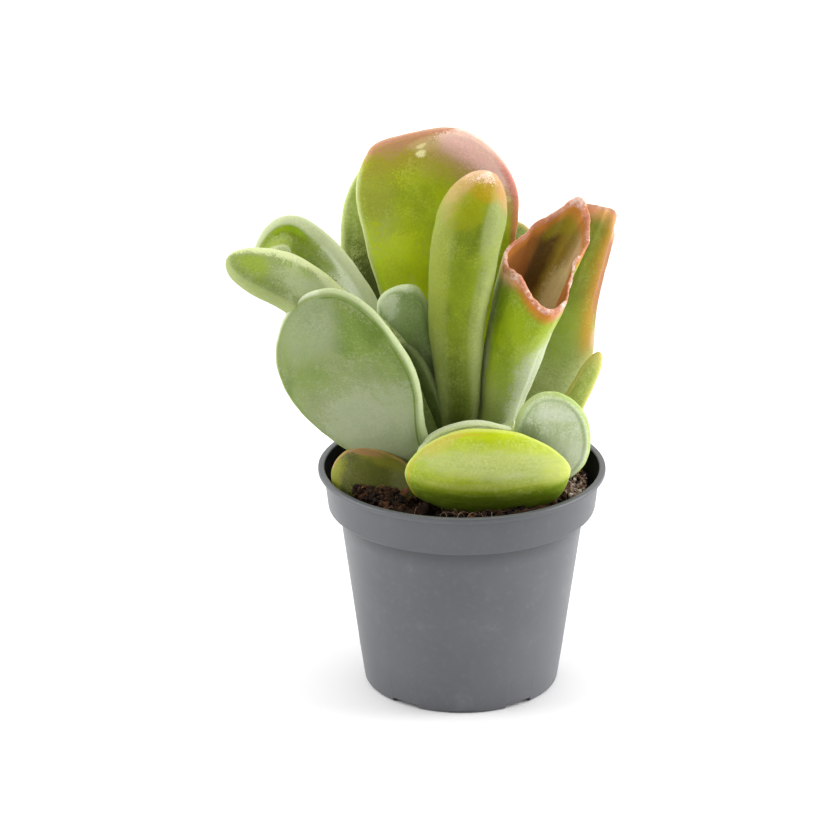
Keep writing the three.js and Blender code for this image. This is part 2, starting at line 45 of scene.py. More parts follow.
# Pot. A gap or notch in the foot ring is (degrees round, degrees wide, height).
RIM_RADIUS = 30.2
POT_HEIGHT = 48.0
LIP_DEPTH = 1.1
LIP_THICKNESS = 1.35
COLLAR_TOP_RADIUS = 28.95
COLLAR_FOOT_RADIUS = 28.05
COLLAR_FOOT_Z = 39.0
WALL_TOP_RADIUS = 25.8
WALL_FOOT_RADIUS = 20.55
WALL = 1.1
LEDGE_THICKNESS = 1.3
FLOOR_TOP_Z = 2.3
FOOT_GAP_HEIGHT = 1.0
FOOT_INNER_RADIUS = 17.6
REST_PAD_RADIUS = 5.0
# How far under the collar the painted shadow on the wall reaches, in mm
COLLAR_SHADE = 5.0
# The inner wall's damp stain and painted shade stop this far under the rim and reach this far past its line.
STAIN_AND_SHADE_DROP = 0.35
STAIN_AND_SHADE_MARGIN = 0.12
FOOT_GAPS = [(-126, 18, 1.0), (-54, 18, 1.0), (54, 18, 1.0), (126, 18, 1.0)]
FOOT_NOTCHES = [(-90, 11, 0.35), (0, 11, 0.35), (90, 11, 0.35), (180, 11, 0.35)]
DRAIN_RADIUS = 2.0
DRAIN_RING_RADIUS = 11.0
DRAIN_COUNT = 4

# Soil. A mound is (x, y, reach, height).
SOIL_TOP_Z = 43.6
SOIL_RADIUS = 26.8
SOIL_MOUNDS = [(-18.5, -13, 7.5, 3.6), (13, -23.5, 5, 2.2), (21, -8, 6, 1.2)]
CRUMB_SHAPES = 12
FIBRE_COUNT = 460

# Camera, worked out from the pot's rim and foot in the photograph
CAMERA_DISTANCE = 900.0
CAMERA_TILT = math.radians(21.29)
CAMERA_AIM_Z = 58.0
CAMERA_SIDE = -8.78
CAMERA_LENS = 184.5
CAMERA_SENSOR = 36

# Light: the surroundings are white, darker on the camera's side. A lamp is (place in metres, power).
WORLD_FRONT = 0.3
WORLD_BACK = 1.0
FLOOR_TONE = 0.9
FLOOR_HALF = 3.0
SUN_TOWARDS = (-0.15, 0.25, 1.0)
SUN_STRENGTH = 1.3
SUN_ANGLE = math.radians(100)
LAMPS = {"side_left": ((-0.75, -0.05, 0.35), 2.8), "side_right": ((0.75, 0.05, 0.30), 5.2)}
LAMP_SIZE = 0.5
LAMP_AIM = (0, 0, 0.07)

# How finely the skins are cut
PATH_STEPS = 16
BLADE_AROUND = 96
BLADE_ALONG = 96
TRUMPET_AROUND = 96
TRUMPET_ALONG = 96
LIP_STEPS = 10
SOIL_RINGS = 90
SOIL_AROUND = 260
POT_AROUND = 240

# Leaf skins: the powers say how full a blade's section is and how bluntly its outline and thickness close
# at the tip. The lip's waves (how many a mm, height in mm) are noises read at three shifts, and a fold fades
# down the wall over its reach.
EDGE_POWER = 2.5
TIP_POWER = 2.1
THIN_POWER = 2.6
TRUMPET_WALL = 0.85
LIP_SHIFTS = [(5.5, 1.5, 8.0), (12.5, 7.5, 0), (0, 21.5, 9.5)]
LIP_WAVES = [(0.22, 0.9), (0.75, 0.24)]
FOLD_REACH = 2.2
LEAF_SWELL = 0.28

# Noises on the leaves: cells per metre, detail, roughness, distortion
LEAF_NOISES = {
    "broad": (75, 4, 0.55, 0.8),
    "rub": (130, 9, 0.72, 0.5),
    "speck": (1700, 3, 0.65),
    "grain": (4200, 2, 0.6),
}

# Leaf forms, as in the solids: half widths and thicknesses at even steps along the spine.
# face is where the upper side looks (face_tip the same at the tip, where it differs) and cup the bend across,
# in radians, at the foot and at the tip. The tip closes from round_from on. round and edge are given where
# they aren't TIP_POWER and EDGE_POWER. A bump is (along, side, height, reach) and a ridge along the margin
# (height, distance from the margin, width), in mm. What isn't given for the right side is as on the left.
# A trumpet is a tube flattened by squash. From lip_from on it opens out to the points of its lip, its funnel
# goes down to funnel_to, and a fold is (turn from the front, width as a share of the turn, height in mm).
LEAVES = {
    "leaf_lime_front": dict(
        spine=[[4.3, -11.5, 42], [4.4, -16.5, 46.2], [4.3, -20, 53.8], [4.6, -19.5, 63.6]],
        left=[5.1, 13.4, 16.3, 17, 16.8], right=[7, 15.5, 18.1, 19.6, 18.7], thick=[5, 5, 4.6, 4.2, 3.6],
        face=[0, -1, 0.2], cup=[-0.25, -0.4], round_from=0.45, round=2,
    ),
    "leaf_right_round": dict(
        spine=[[9.1, -4, 46.1], [13.4, -9, 49.9], [16.8, -12, 57.8], [18.2, -14, 69.6]],
        left=[3.2, 5.5, 6.5, 7.2, 8], right=[2.9, 5.2, 9.4, 9.1, 8.7], thick=[4.4, 4, 3.6, 3.4, 3],
        face=[0.1, -1, 0.15], cup=[0.2, 0.2], round_from=0.62, ridge=(0.3, 0.75, 0.35),
    ),
    "leaf_left_paddle": dict(
        spine=[[-6.6, -3, 47], [-13.6, -9, 58.7], [-22.9, -14, 76], [-29.3, -16, 92.5]],
        left=[3.5, 11.5, 16.2, 16.7, 14.5], right=[3, 6, 11.6, 12.5, 12.5], thick=[6, 5, 4.4, 4, 3.5],
        face=[-0.35, -0.93, 0], cup=[0.1, -0.1], round_from=0.6, edge=3, ridge=(0.2, 0.85, 0.4),
    ),
    "leaf_front_finger": dict(
        spine=[[0, 0, 46.9], [-0.9, -4, 63.7], [-0.9, -6, 81.6], [2, -7, 102.4], [5.4, -5, 114.1]],
        left=[3.4, 4.3, 5.9, 7.8, 7.3], right=[3.3, 4.5, 5.5, 6.3, 6.2], thick=[7, 9, 11, 11, 10],
        face=[0.1, -1, 0.1], round_from=0.84, round=2, edge=2.1,
    ),
    "leaf_front_trumpet": dict(
        spine=[[4.4, -1, 46.7], [7.1, -2, 58.8], [10.6, -2, 74.4], [14, -1, 85], [17.3, 1, 94.1]],
        radius=[3.5, 4.3, 5.9, 6.9, 7.6], squash=0.95, face=[-0.1, -1, 0.3], lip_from=0.55, funnel_to=0.45,
        folds=[(0.89, 0.06, 1), (0.51, 0.06, 0.5), (0.22, 0.035, 0.5)],
        lip=[
            [14.7, -9.5, 87.6], [18.5, -8, 84.5], [21.6, -4, 85.2], [21.9, -1, 87.6], [23.8, 3, 92.1],
            [26.1, 6, 95.7], [26.1, 8.5, 99.7], [24, 10, 103.3], [19.5, 10.5, 100.7], [13.5, 9, 96.9],
            [9.5, 4, 94.6], [8.3, -3, 93.1], [11.4, -8.5, 92],
        ],
    ),
    "leaf_low_left": dict(
        spine=[[-3.5, -8.5, 44], [-11, -10.5, 46.4], [-19.5, -10, 48.8], [-27, -6.5, 49.8]],
        left=[2.4, 4, 6, 6.4, 5.6], right=[2.4, 4, 6.4, 6.8, 5.6], thick=[4, 4, 3.8, 3.4, 2.8],
        face=[0, -1, 0.3], cup=[0, 0.2], round_from=0.72,
    ),
    "leaf_left_finger": dict(
        spine=[[-2.4, 0, 47.8], [-13.3, -4, 70.2], [-27.1, -7, 84.3], [-35.2, -9, 92], [-48.2, -11, 97.2]],
        left=[3.1, 4.2, 5.5, 6.3, 6.3], right=[3.3, 4.4, 6, 5.3, 5.3], thick=[6, 7, 7.6, 7.6, 6.5],
        face=[0, -0.6, 0.8], round_from=0.8, edge=2.8,
    ),
    "leaf_back_trumpet": dict(
        spine=[[7.2, 5, 45.1], [13.3, 8.5, 54], [19, 12, 66], [21.6, 13.5, 79.5], [25.2, 14.5, 92.5]],
        radius=[3.8, 6.8, 8, 7, 6.3], squash=0.62, face=[-0.2, -1, 0.3], lip_from=0.6, funnel_to=0.5,
        folds=[(0.12, 0.06, 0.5), (0.55, 0.1, 0.4)],
        lip=[
            [29.2, 11, 101], [32.3, 12, 99], [31.6, 15.5, 93.4], [29.8, 18.5, 88],
            [26.5, 20, 86.5], [22.8, 18.5, 90], [23.2, 15.5, 96.5], [25.6, 12, 101.2],
        ],
    ),
    "leaf_back_paddle": dict(
        spine=[[-1.7, 4, 46.2], [0, 9, 60.6], [-5.8, 12, 79.8], [-4.5, 10, 104.8], [-1.5, 4, 120.5]],
        left=[3.6, 6.4, 11.6, 17.8, 22.8], right=[5, 8.6, 15.9, 16.8, 16.9], thick=[6.5, 5, 4.2, 3.8, 3.4],
        face=[0.1, -1, 0.1], cup=[0.3, 0.35], round_from=0.72,
        bumps=[(0.93, -1, 1.3, 2.6)], ridge=(0.2, 0.9, 0.5),
    ),
    "leaf_behind_lime": dict(
        spine=[[2.5, -3, 46.6], [2.9, -9, 51.6], [0.7, -12, 56.3], [-0.8, -12, 62.2]],
        left=[3.7, 8.6, 10.5, 12.3, 12.4], right=[4.1, 9.2, 11.3, 12.6, 11.2], thick=[4, 4, 3.6, 3.4, 3],
        face=[0, -1, 0.2], cup=[-0.3, -0.4], round_from=0.45, ridge=(0.3, 0.9, 0.4),
    ),
    "leaf_small_grey": dict(
        spine=[[-2.1, 3, 47.3], [-4.1, 1, 61.8], [-10, 0, 75.4], [-11.1, 0, 88.1]],
        left=[3, 4, 5.2, 6.1, 9.3], right=[3, 4, 4.9, 4.4, 4.6], thick=[6, 6.2, 6.2, 6, 5.2],
        face=[-0.1, -1, 0], round_from=0.76, edge=2.4,
    ),
    "leaf_thin_middle": dict(
        spine=[[-3.2, -1.5, 50], [-6, -4, 62.5], [-9.4, -5.4, 71.8], [-12, -5.8, 77]],
        left=[2, 2.4, 2.8, 2.8, 2.4], thick=[3, 3, 2.8, 2.6, 2.2],
        face=[-0.6, -0.8, 0], cup=[0.1, 0.1], round_from=0.75, edge=2.4,
    ),
    "leaf_upper_left_spoon": dict(
        spine=[[-2.2, 4, 47.9], [-14.7, 7, 69.2], [-23.5, 8, 84.3], [-34.7, 7, 96.4], [-42.9, 5, 93.4]],
        left=[3, 4, 5.5, 6.5, 5.5], right=[2.6, 3, 3.4, 5.2, 3.9], thick=[5, 4.6, 4.4, 4.2, 3.8],
        face=[-0.3, -0.85, 0.3], face_tip=[-0.5, -0.85, 0.3], cup=[0.5, 1.2], round_from=0.75,
    ),
    "leaf_back_left_paddle": dict(
        spine=[[-2.5, 9, 45.4], [-11.6, 15, 63.5], [-18.3, 18, 82.7], [-19.1, 18, 95.5], [-18.6, 16, 109.7]],
        left=[2.9, 3.8, 5.7, 6.8, 6.4], right=[3, 4, 6, 7, 6.5], thick=[5, 4.5, 4, 3.6, 3.2],
        face=[0.3, -1, 0.1], cup=[0.3, 0.3], round_from=0.75,
    ),
    "leaf_right_tip": dict(
        spine=[[10, -0.5, 46.5], [15.5, -1.5, 51.5], [22.4, 0.5, 60.5], [28.9, 5, 71.2]],
        left=[2.2, 2.6, 2.8, 2.2, 1.6], thick=[4, 3.6, 3.2, 2.8, 2.4],
        face=[0.2, -1, 0.4], cup=[0.3, 0.3], round_from=0.85, round=2, edge=2.4,
    ),
    "leaf_rear_paddle": dict(
        spine=[[3, 8, 46], [6, 17, 60], [9, 25, 77], [9, 28, 93]],
        left=[3.4, 7, 11, 11.5, 10.5], thick=[5.6, 4.8, 4.2, 3.8, 3.2],
        face=[0.1, 1, 0.2], cup=[0.2, 0.25], round_from=0.62,
    ),
    "leaf_rear_finger": dict(
        spine=[[-3.6, 8, 46.5], [-8, 19, 58], [-12, 27, 71], [-14, 30, 84]],
        left=[3.2, 4, 4.8, 5.2, 4.8], thick=[6, 7, 8, 8, 7],
        face=[0.2, 1, 0.1], round_from=0.82, round=2, edge=2.1,
    ),
    "leaf_rear_round_left": dict(
        spine=[[-5.4, 5, 46], [-12, 12, 49.5], [-17, 16.5, 57], [-19, 18, 66]],
        left=[3, 5.4, 7.6, 7.8, 7.4], thick=[4.4, 4, 3.6, 3.4, 3],
        face=[-0.6, 0.8, 0.2], cup=[0.2, 0.2], round_from=0.6,
    ),
    "leaf_rear_round_right": dict(
        spine=[[7, 9.5, 46], [12, 16, 49.5], [15.4, 20, 57], [17, 21.5, 66]],
        left=[3, 5.4, 7.8, 8, 7.6], thick=[4.4, 4, 3.6, 3.4, 3],
        face=[0.5, 0.8, 0.2], cup=[0.2, 0.2], round_from=0.6,
    ),
}

# How each leaf is coloured, in 0..255 screen colours.
# skin holds the deep, middle and light colours of the fresh leaf, bloom_and_highlight the share of bloom on
# it and its colour, in which painted highlights are laid too, and base a colour at the foot and where along
# it fades out. sides is more bloom at both margins, partly painted highlight where the side light falls,
# streaks the strength of fine lines across, glow the weight of the light let through and how many metres it
# goes, and under a darker back.
# A patch is (where along, where across, half its length, half its width, strength). It goes with
# more_bloom_and_highlight (more bloom, some of it painted highlight), rubbed (less), and patches and
# inner_patches (a colour, some of them painted light or shade). Across runs from -1 at the left margin to 1
# at the right one on a blade. On a trumpet it is the turn from the front: from -0.5 to 0.5 outside, and from
# 0 to 1 right round inside.
# tips are (colour, from, to, how far the edge leans, strength), rims (colour, width in mm, strength, side,
# and for some where along they fade in) and lines (colour, distance from the margin in mm, width, strength,
# side). A side is -1 for the left margin, 1 for the right one and 0 for both.
# On a trumpet, lip colours the band under the lip and band is its width in mm. frost_and_highlight is bloom
# and painted highlight on the lip, lip_rim shows between, and at the turn bare_lip there is less of
# it. inside and lip_inside colour the funnel, funnel_shade (with the depths in mm over which it comes in) is
# painted shade down in it, and a stripe is (colour, turn, half width, strength).
LOOKS = {
    "leaf_lime_front": dict(
        slot="leaf_lime", skin=[(158, 180, 10), (180, 196, 36), (200, 210, 100)],
        bloom_and_highlight=(0.22, (196, 204, 142)), streaks=0.42,
        # base paints a dark green band low on the leaf: painted shadow of the pot's rim, where the leaf turns
        # under.
        base=((112, 140, 6), 0.42, 0.56),
        # The first bloom spot, across the middle, is partly a painted highlight.
        more_bloom_and_highlight=[(0.72, 0.1, 0.11, 1, 0.5), (0.6, 0.45, 0.05, 0.5, 0.35)],
        rubbed=[(0.95, 0, 0.06, 1.2, 0.85), (0.3, 0, 0.25, 1.5, 0.8)],
        patches=[
            ((190, 206, 14), (0.97, 0, 0.05, 1.2, 0.7)), ((196, 204, 106), (0.54, 0, 0.03, 0.9, 0.4)),
            ((204, 186, 98), (0.88, -0.8, 0.12, 0.22, 0.5)), ((208, 214, 120), (0.6, 0.85, 0.12, 0.25, 0.5)),
        ],
        rims=[((212, 218, 118), 0.6, 0.6, 0)],
        lines=[((204, 170, 64), 0.9, 0.35, 0.6, -1)],
    ),
    "leaf_right_round": dict(
        slot="leaf_pale", skin=[(160, 180, 118), (184, 199, 144), (206, 216, 176)],
        bloom_and_highlight=(0.78, (206, 215, 186)),
        rubbed=[(0.55, -0.2, 0.12, 0.5, 0.4), (0.8, 0.3, 0.06, 0.4, 0.3)],
        patches=[
            # The darker patch at (0.62, -0.55) is painted shade on the lower left of the cupped face.
            ((220, 226, 206), (0.5, 0.3, 0.16, 0.9, 0.6)), ((146, 164, 116), (0.62, -0.55, 0.2, 0.3, 0.5)),
            ((216, 224, 204), (0.84, 0.1, 0.06, 0.6, 0.5)),
        ],
        rims=[((178, 196, 122), 0.7, 0.8, 0), ((164, 188, 94), 0.9, 0.4, 1)],
        lines=[((124, 150, 78), 1.3, 0.5, 0.35, 0)],
    ),
    "leaf_left_paddle": dict(
        slot="leaf_pale", skin=[(96, 120, 40), (120, 142, 62), (146, 164, 96)],
        bloom_and_highlight=(0.76, (141, 149, 108)),
        more_bloom_and_highlight=[(0.45, -0.3, 0.12, 0.6, 0.3)],
        rubbed=[
            (0.8, 0.42, 0.12, 0.5, 0.95), (0.62, 0.72, 0.1, 0.25, 0.6), (0.93, -0.3, 0.05, 0.4, 0.4),
            (0.66, -0.5, 0.05, 0.25, 0.4),
        ],
        patches=[
            ((176, 184, 154), (0.32, 0.1, 0.26, 1.1, 0.55)), ((160, 170, 138), (0.88, -0.35, 0.14, 0.6, 0.4)),
        ],
        rims=[((212, 218, 186), 0.8, 0.8, 0), ((150, 172, 90), 1.2, 0.4, 1)],
        lines=[((92, 122, 12), 1.3, 0.3, 0.8, 1), ((128, 150, 60), 0.9, 0.3, 0.5, -1)],
    ),
    "leaf_front_finger": dict(
        slot="leaf_green", skin=[(92, 110, 0), (124, 142, 0), (152, 164, 30)],
        # Its extra bloom at both margins, and the bloom spot at across 0.42, are partly painted highlight
        # from the side lights.
        bloom_and_highlight=(0.12, (166, 174, 116)), sides=0.42,
        more_bloom_and_highlight=[(0.86, 0.42, 0.13, 0.28, 0.4), (0.55, 0.55, 0.2, 0.3, 0.25)],
        rubbed=[(0.72, -0.15, 0.38, 0.34, 0.8)],
        patches=[
            ((150, 160, 40), (0.74, -0.85, 0.3, 0.3, 0.5)), ((152, 156, 4), (0.9, -0.35, 0.07, 0.5, 0.7)),
            # The orange-yellow patch at 0.945 is partly the tip's own colour and partly painted shadow under
            # its rolled tip.
            ((184, 146, 14), (0.945, 0.05, 0.03, 0.7, 0.6)), ((200, 140, 92), (1, 0.8, 0.09, 0.4, 0.6)),
            ((206, 160, 116), (1, -0.9, 0.13, 0.35, 0.5)), ((150, 160, 96), (0.86, 0.5, 0.07, 0.3, 0.5)),
        ],
        # The second tip colour is a painted highlight on the blush.
        tips=[((218, 160, 112), 0.9, 1.02, -0.03, 0.75), ((250, 212, 188), 0.96, 1, -0.02, 0.85)],
        base=((56, 70, 8), 0.15, 0.62),
    ),
    "leaf_front_trumpet": dict(
        # Its green is painted brighter than its own, against the shade that the front finger casts on it.
        slot="leaf_trumpet", skin=[(120, 144, 0), (152, 174, 0), (176, 190, 40)],
        bloom_and_highlight=(0.16, (190, 198, 166)),
        more_bloom_and_highlight=[
            # The bloom band at turn 0.22 is partly a painted highlight.
            (0.44, 0.22, 0.36, 0.17, 0.85), (0.55, -0.2, 0.45, 0.07, 0.7), (0.3, -0.05, 0.12, 0.2, 0.3),
        ],
        rubbed=[(0.76, -0.05, 0.22, 0.1, 0.9)],
        patches=[
            ((154, 176, 0), (0.8, -0.05, 0.1, 0.06, 0.6)), ((122, 146, 10), (0.56, -0.02, 0.16, 0.05, 0.6)),
            # The lighter green patch low at 0.34 is painted light where the finger shades the tube, and the
            # thin pale line at turn 0.15 a painted highlight.
            ((172, 188, 92), (0.34, -0.06, 0.13, 0.1, 0.6)), ((222, 228, 208), (0.45, 0.15, 0.3, 0.012, 0.5)),
        ],
        lip=(196, 122, 40), band=3, lip_rim=(190, 122, 92), frost_and_highlight=(238, 206, 196), bare_lip=0.68,
        # The pale pink stripe at turn -0.22 is painted light on the band's shaded left side.
        band_stripes=[((252, 206, 186), -0.22, 0.13, 0.9), ((216, 160, 134), 0.13, 0.05, 0.7)],
        inside=(164, 134, 52), funnel_shade=((52, 40, 6), 17, 28), lip_inside=(190, 120, 48),
        inner_stripes=[
            # The pale stripe at turn 0.39 is painted light on the lit side of the inner wall, and the
            # near-black one at 0.6 painted shade in its fold.
            ((206, 176, 134), 0.39, 0.11, 0.8), ((214, 128, 66), 0.26, 0.05, 0.8),
            ((134, 114, 24), 0.51, 0.06, 0.75), ((66, 42, 2), 0.6, 0.075, 0.9),
            ((146, 80, 36), 0.71, 0.07, 0.8), ((180, 114, 88), 0.83, 0.07, 0.75),
        ],
        inner_patches=[
            # The first inner patch is a painted highlight low on that lit wall.
            ((214, 200, 142), (0.76, 0.41, 0.11, 0.1, 0.75)), ((144, 132, 20), (0.95, 0.56, 0.05, 0.08, 0.6)),
        ],
    ),
    "leaf_low_left": dict(
        slot="leaf_olive", skin=[(58, 62, 12), (82, 86, 18), (108, 110, 40)],
        bloom_and_highlight=(0.08, (136, 136, 92)),
        more_bloom_and_highlight=[(0.4, 0.2, 0.1, 0.8, 0.4)],
        patches=[
            ((146, 148, 34), (0.96, -0.2, 0.1, 1.2, 0.7)), ((132, 128, 34), (0.55, 0.85, 0.3, 0.3, 0.5)),
            ((156, 112, 78), (0.74, 0.86, 0.13, 0.14, 0.7)),
        ],
        rims=[((178, 146, 84), 0.9, 0.85, 1), ((150, 150, 62), 0.8, 0.6, -1)],
    ),
    "leaf_left_finger": dict(
        slot="leaf_pale", skin=[(100, 120, 36), (124, 142, 58), (160, 174, 96)],
        bloom_and_highlight=(0.66, (146, 157, 106)),
        rubbed=[(0.93, -0.3, 0.06, 0.6, 0.6), (0.7, -0.4, 0.06, 0.4, 0.4)],
        patches=[
            # The pale patch at (0.76, 0.85) is a painted highlight on the leaf's top, where the light from
            # above falls.
            ((222, 230, 172), (0.76, 0.85, 0.34, 0.5, 0.75)), ((140, 160, 40), (0.93, -0.2, 0.05, 0.5, 0.7)),
            ((134, 154, 44), (0.8, 0.15, 0.07, 0.25, 0.5)), ((186, 196, 158), (0.66, -0.2, 0.2, 0.8, 0.5)),
        ],
        rims=[((182, 192, 128), 0.6, 0.4, 0)],
    ),
    "leaf_back_trumpet": dict(
        slot="leaf_trumpet", skin=[(116, 122, 14), (142, 148, 28), (166, 172, 58)],
        bloom_and_highlight=(0.14, (190, 200, 146)),
        more_bloom_and_highlight=[(0.38, 0.02, 0.24, 0.3, 0.7)],
        patches=[
            ((170, 124, 32), (0.86, 0.15, 0.3, 0.08, 0.8)), ((160, 96, 62), (0.9, 0.24, 0.32, 0.09, 0.85)),
            ((214, 188, 158), (0.62, 0.225, 0.05, 0.04, 0.5)),
            ((190, 140, 40), (0.64, 0.15, 0.08, 0.05, 0.5)), ((150, 174, 60), (0.58, 0.02, 0.16, 0.1, 0.6)),
        ],
        lip=(226, 162, 118), band=1.8, lip_rim=(216, 156, 136), frost_and_highlight=(244, 214, 206),
        band_stripes=[((224, 166, 96), 0.04, 0.08, 0.7)],
        inside=(120, 100, 36), funnel_shade=((50, 40, 8), 6, 16),
        lip_inside=(172, 132, 56),
    ),
    "leaf_back_paddle": dict(
        # Its skin and blush are painted lighter than the leaf's own, for the light let through it from
        # behind.
        slot="leaf_blush", skin=[(162, 180, 0), (186, 202, 0), (204, 212, 50)],
        bloom_and_highlight=(0.12, (214, 218, 140)), glow=(0.5, 0.003), under=0.75,
        more_bloom_and_highlight=[(0.6, -1, 0.34, 0.5, 0.3), (0.52, -0.38, 0.03, 0.08, 0.4), (0.86, 0.75, 0.1, 0.2, 0.25)],
        tips=[
            ((194, 164, 92), 0.77, 0.9, 0.13, 0.75), ((214, 168, 140), 0.85, 0.95, 0.13, 0.7),
            ((250, 208, 210), 0.9, 1, 0.13, 0.95),
        ],
        patches=[
            ((250, 214, 208), (1, -0.45, 0.045, 0.6, 0.85)), ((244, 206, 200), (0.97, 0.3, 0.05, 0.5, 0.5)),
            ((160, 160, 40), (0.86, -0.85, 0.16, 0.4, 0.55)),
            ((182, 160, 60), (0.93, -0.75, 0.09, 0.45, 0.6)),
            ((204, 144, 120), (0.985, -0.85, 0.075, 0.45, 0.75)),
            # The bright patch at (0.5, -0.6) is painted light where the leaves before it shade it.
            ((222, 196, 140), (0.95, -0.4, 0.03, 0.2, 0.5)), ((228, 242, 30), (0.5, -0.6, 0.17, 0.6, 0.6)),
            ((250, 242, 190), (0.915, -0.36, 0.012, 0.06, 0.95)),
            ((246, 234, 180), (0.94, -0.42, 0.01, 0.05, 0.8)),
            ((232, 214, 150), (0.8, 0.86, 0.012, 0.06, 0.8)),
        ],
        rims=[
            # The pale rim on the left margin is painted light let through at the edge.
            ((186, 100, 88), 1.7, 0.75, 1, 0.98, 0.9), ((204, 206, 170), 0.7, 0.6, -1, 0.88, 0.82),
            ((206, 146, 138), 0.8, 0.65, -1, 0.84, 0.92),
        ],
    ),
    "leaf_behind_lime": dict(
        slot="leaf_pale", skin=[(186, 202, 116), (208, 218, 148), (220, 228, 176)],
        bloom_and_highlight=(0.6, (222, 229, 188)),
        rims=[((224, 232, 196), 0.7, 0.9, 0)],
    ),
    "leaf_small_grey": dict(
        slot="leaf_grey", skin=[(98, 120, 50), (128, 152, 80), (168, 188, 124)],
        bloom_and_highlight=(0.7, (156, 174, 120)),
        base=((94, 106, 58), 0.4, 0.88),
        more_bloom_and_highlight=[(0.88, -0.5, 0.09, 0.35, 0.5)],
        patches=[((214, 224, 194), (0.9, -0.62, 0.07, 0.3, 0.7)), ((206, 216, 180), (1, 0, 0.03, 1, 0.6))],
        rims=[((206, 216, 180), 1, 0.85, -1), ((184, 198, 146), 0.8, 0.6, 1)],
    ),
    "leaf_thin_middle": dict(
        slot="leaf_dark", skin=[(48, 62, 18), (76, 92, 40), (104, 118, 62)],
        bloom_and_highlight=(0.3, (114, 126, 82)),
        rims=[((130, 142, 94), 0.7, 0.5, 0)],
    ),
    "leaf_upper_left_spoon": dict(
        slot="leaf_green", skin=[(110, 134, 6), (136, 156, 16), (160, 176, 60)],
        bloom_and_highlight=(0.22, (194, 204, 162)),
        more_bloom_and_highlight=[(0.56, 0.45, 0.24, 0.9, 0.75), (0.78, 0.95, 0.18, 0.22, 0.6)],
        rubbed=[(0.88, 0.35, 0.06, 0.5, 0.9)],
        patches=[
            ((150, 180, 28), (0.885, 0.5, 0.05, 0.32, 0.8)), ((234, 240, 216), (0.54, 0.6, 0.22, 0.9, 0.9)),
            ((128, 150, 30), (0.76, 0.3, 0.08, 0.4, 0.6)),
        ],
        rims=[((206, 214, 170), 0.9, 0.7, 0)],
    ),
    "leaf_back_left_paddle": dict(
        slot="leaf_pale", skin=[(166, 184, 86), (192, 206, 112), (206, 216, 140)],
        bloom_and_highlight=(0.5, (208, 218, 154)),
        base=((34, 44, 0), 0.64, 0.86),
        rubbed=[(0.56, 0.1, 0.2, 1.5, 0.85)],
        rims=[((196, 208, 140), 0.8, 0.4, 0)],
    ),
    "leaf_right_tip": dict(
        slot="leaf_olive", skin=[(136, 152, 44), (164, 178, 72), (190, 198, 108)],
        bloom_and_highlight=(0.3, (196, 204, 140)),
        tips=[((214, 196, 112), 0.86, 1, 0, 0.7)],
        rims=[((206, 196, 110), 0.7, 0.6, 0)],
    ),
    "leaf_rear_paddle": dict(
        slot="leaf_green", skin=[(106, 128, 30), (130, 150, 48), (154, 170, 84)],
        bloom_and_highlight=(0.6, (160, 170, 122)),
        rubbed=[(0.75, 0.3, 0.15, 0.5, 0.7)],
        tips=[((214, 170, 140), 0.93, 1, 0.05, 0.8)],
        rims=[((196, 156, 100), 0.9, 0.6, 0)],
    ),
    "leaf_rear_finger": dict(
        slot="leaf_green", skin=[(92, 114, 14), (120, 142, 20), (150, 166, 60)],
        bloom_and_highlight=(0.3, (172, 182, 128)), sides=0.4,
        tips=[((238, 200, 160), 0.94, 0.99, 0, 0.85)],
        base=((72, 88, 20), 0.1, 0.5),
    ),
    "leaf_rear_round_left": dict(
        slot="leaf_pale", skin=[(126, 146, 76), (150, 166, 100), (174, 186, 130)],
        bloom_and_highlight=(0.7, (172, 182, 142)),
        rims=[((196, 208, 122), 1, 0.8, 0)],
    ),
    "leaf_rear_round_right": dict(
        slot="leaf_pale", skin=[(130, 150, 66), (156, 172, 90), (178, 190, 120)],
        bloom_and_highlight=(0.6, (176, 186, 136)),
        rims=[((198, 208, 110), 1, 0.8, 0)],
    ),
}

STEMS = {
    "stem_main": {"x": -1, "y": 2, "radius": 3.1, "from": 31, "to": 60},
    "stem_right": {"x": 7.5, "y": 4, "radius": 2.8, "from": 31, "to": 52},
    "stem_front": {"x": 3.6, "y": -6.2, "radius": 2.4, "from": 31, "to": 48.5},
}


# Curves and stations

def smooth_value(a, b, c, d, s):
    linear = c - a
    square = 2 * a - 5 * b + 4 * c - d
    cube = 3 * b - a - 3 * c + d
    return 0.5 * (2 * b + linear * s + square * s * s + cube * s ** 3)


def smooth_path(points):
    """Dense samples of a smooth line through the points, and the length run up to each."""
    p = np.asarray(points, float)
    ends = np.vstack([2 * p[0] - p[1], p, 2 * p[-1] - p[-2]])
    samples = []
    for i in range(len(p) - 1):
        for step in range(PATH_STEPS):
            samples.append(smooth_value(*ends[i:i + 4], step / PATH_STEPS))
    samples.append(p[-1])
    samples = np.array(samples)
    run = np.concatenate([[0], np.cumsum(np.linalg.norm(np.diff(samples, axis=0), axis=1))])
    return samples, run


def point_on(path, t):
    samples, run = path
    length = min(max(t, 0), 1) * run[-1]
    return np.array([np.interp(length, run, samples[:, k]) for k in range(3)])


def unit(v):
    return v / np.linalg.norm(v)


def units(rows):
    return rows / np.linalg.norm(rows, axis=1, keepdims=True)


def on_circle(radius, turn):
    return radius * math.cos(turn), radius * math.sin(turn)


def frame_on(path, t, face):
    """The way the leaf's upper side looks at t, and the way across it."""
    reach = 0.03
    tangent = unit(point_on(path, t + reach) - point_on(path, t - reach))
    up = unit(face - face @ tangent * tangent)
    return up, np.cross(tangent, up)


def station_value(stations, t):
    last = len(stations) - 1
    i = min(int(t * last), last - 1)
    around = (stations[max(i - 1, 0)], stations[i], stations[i + 1], stations[min(i + 2, last)])
    return smooth_value(*around, t * last - i)


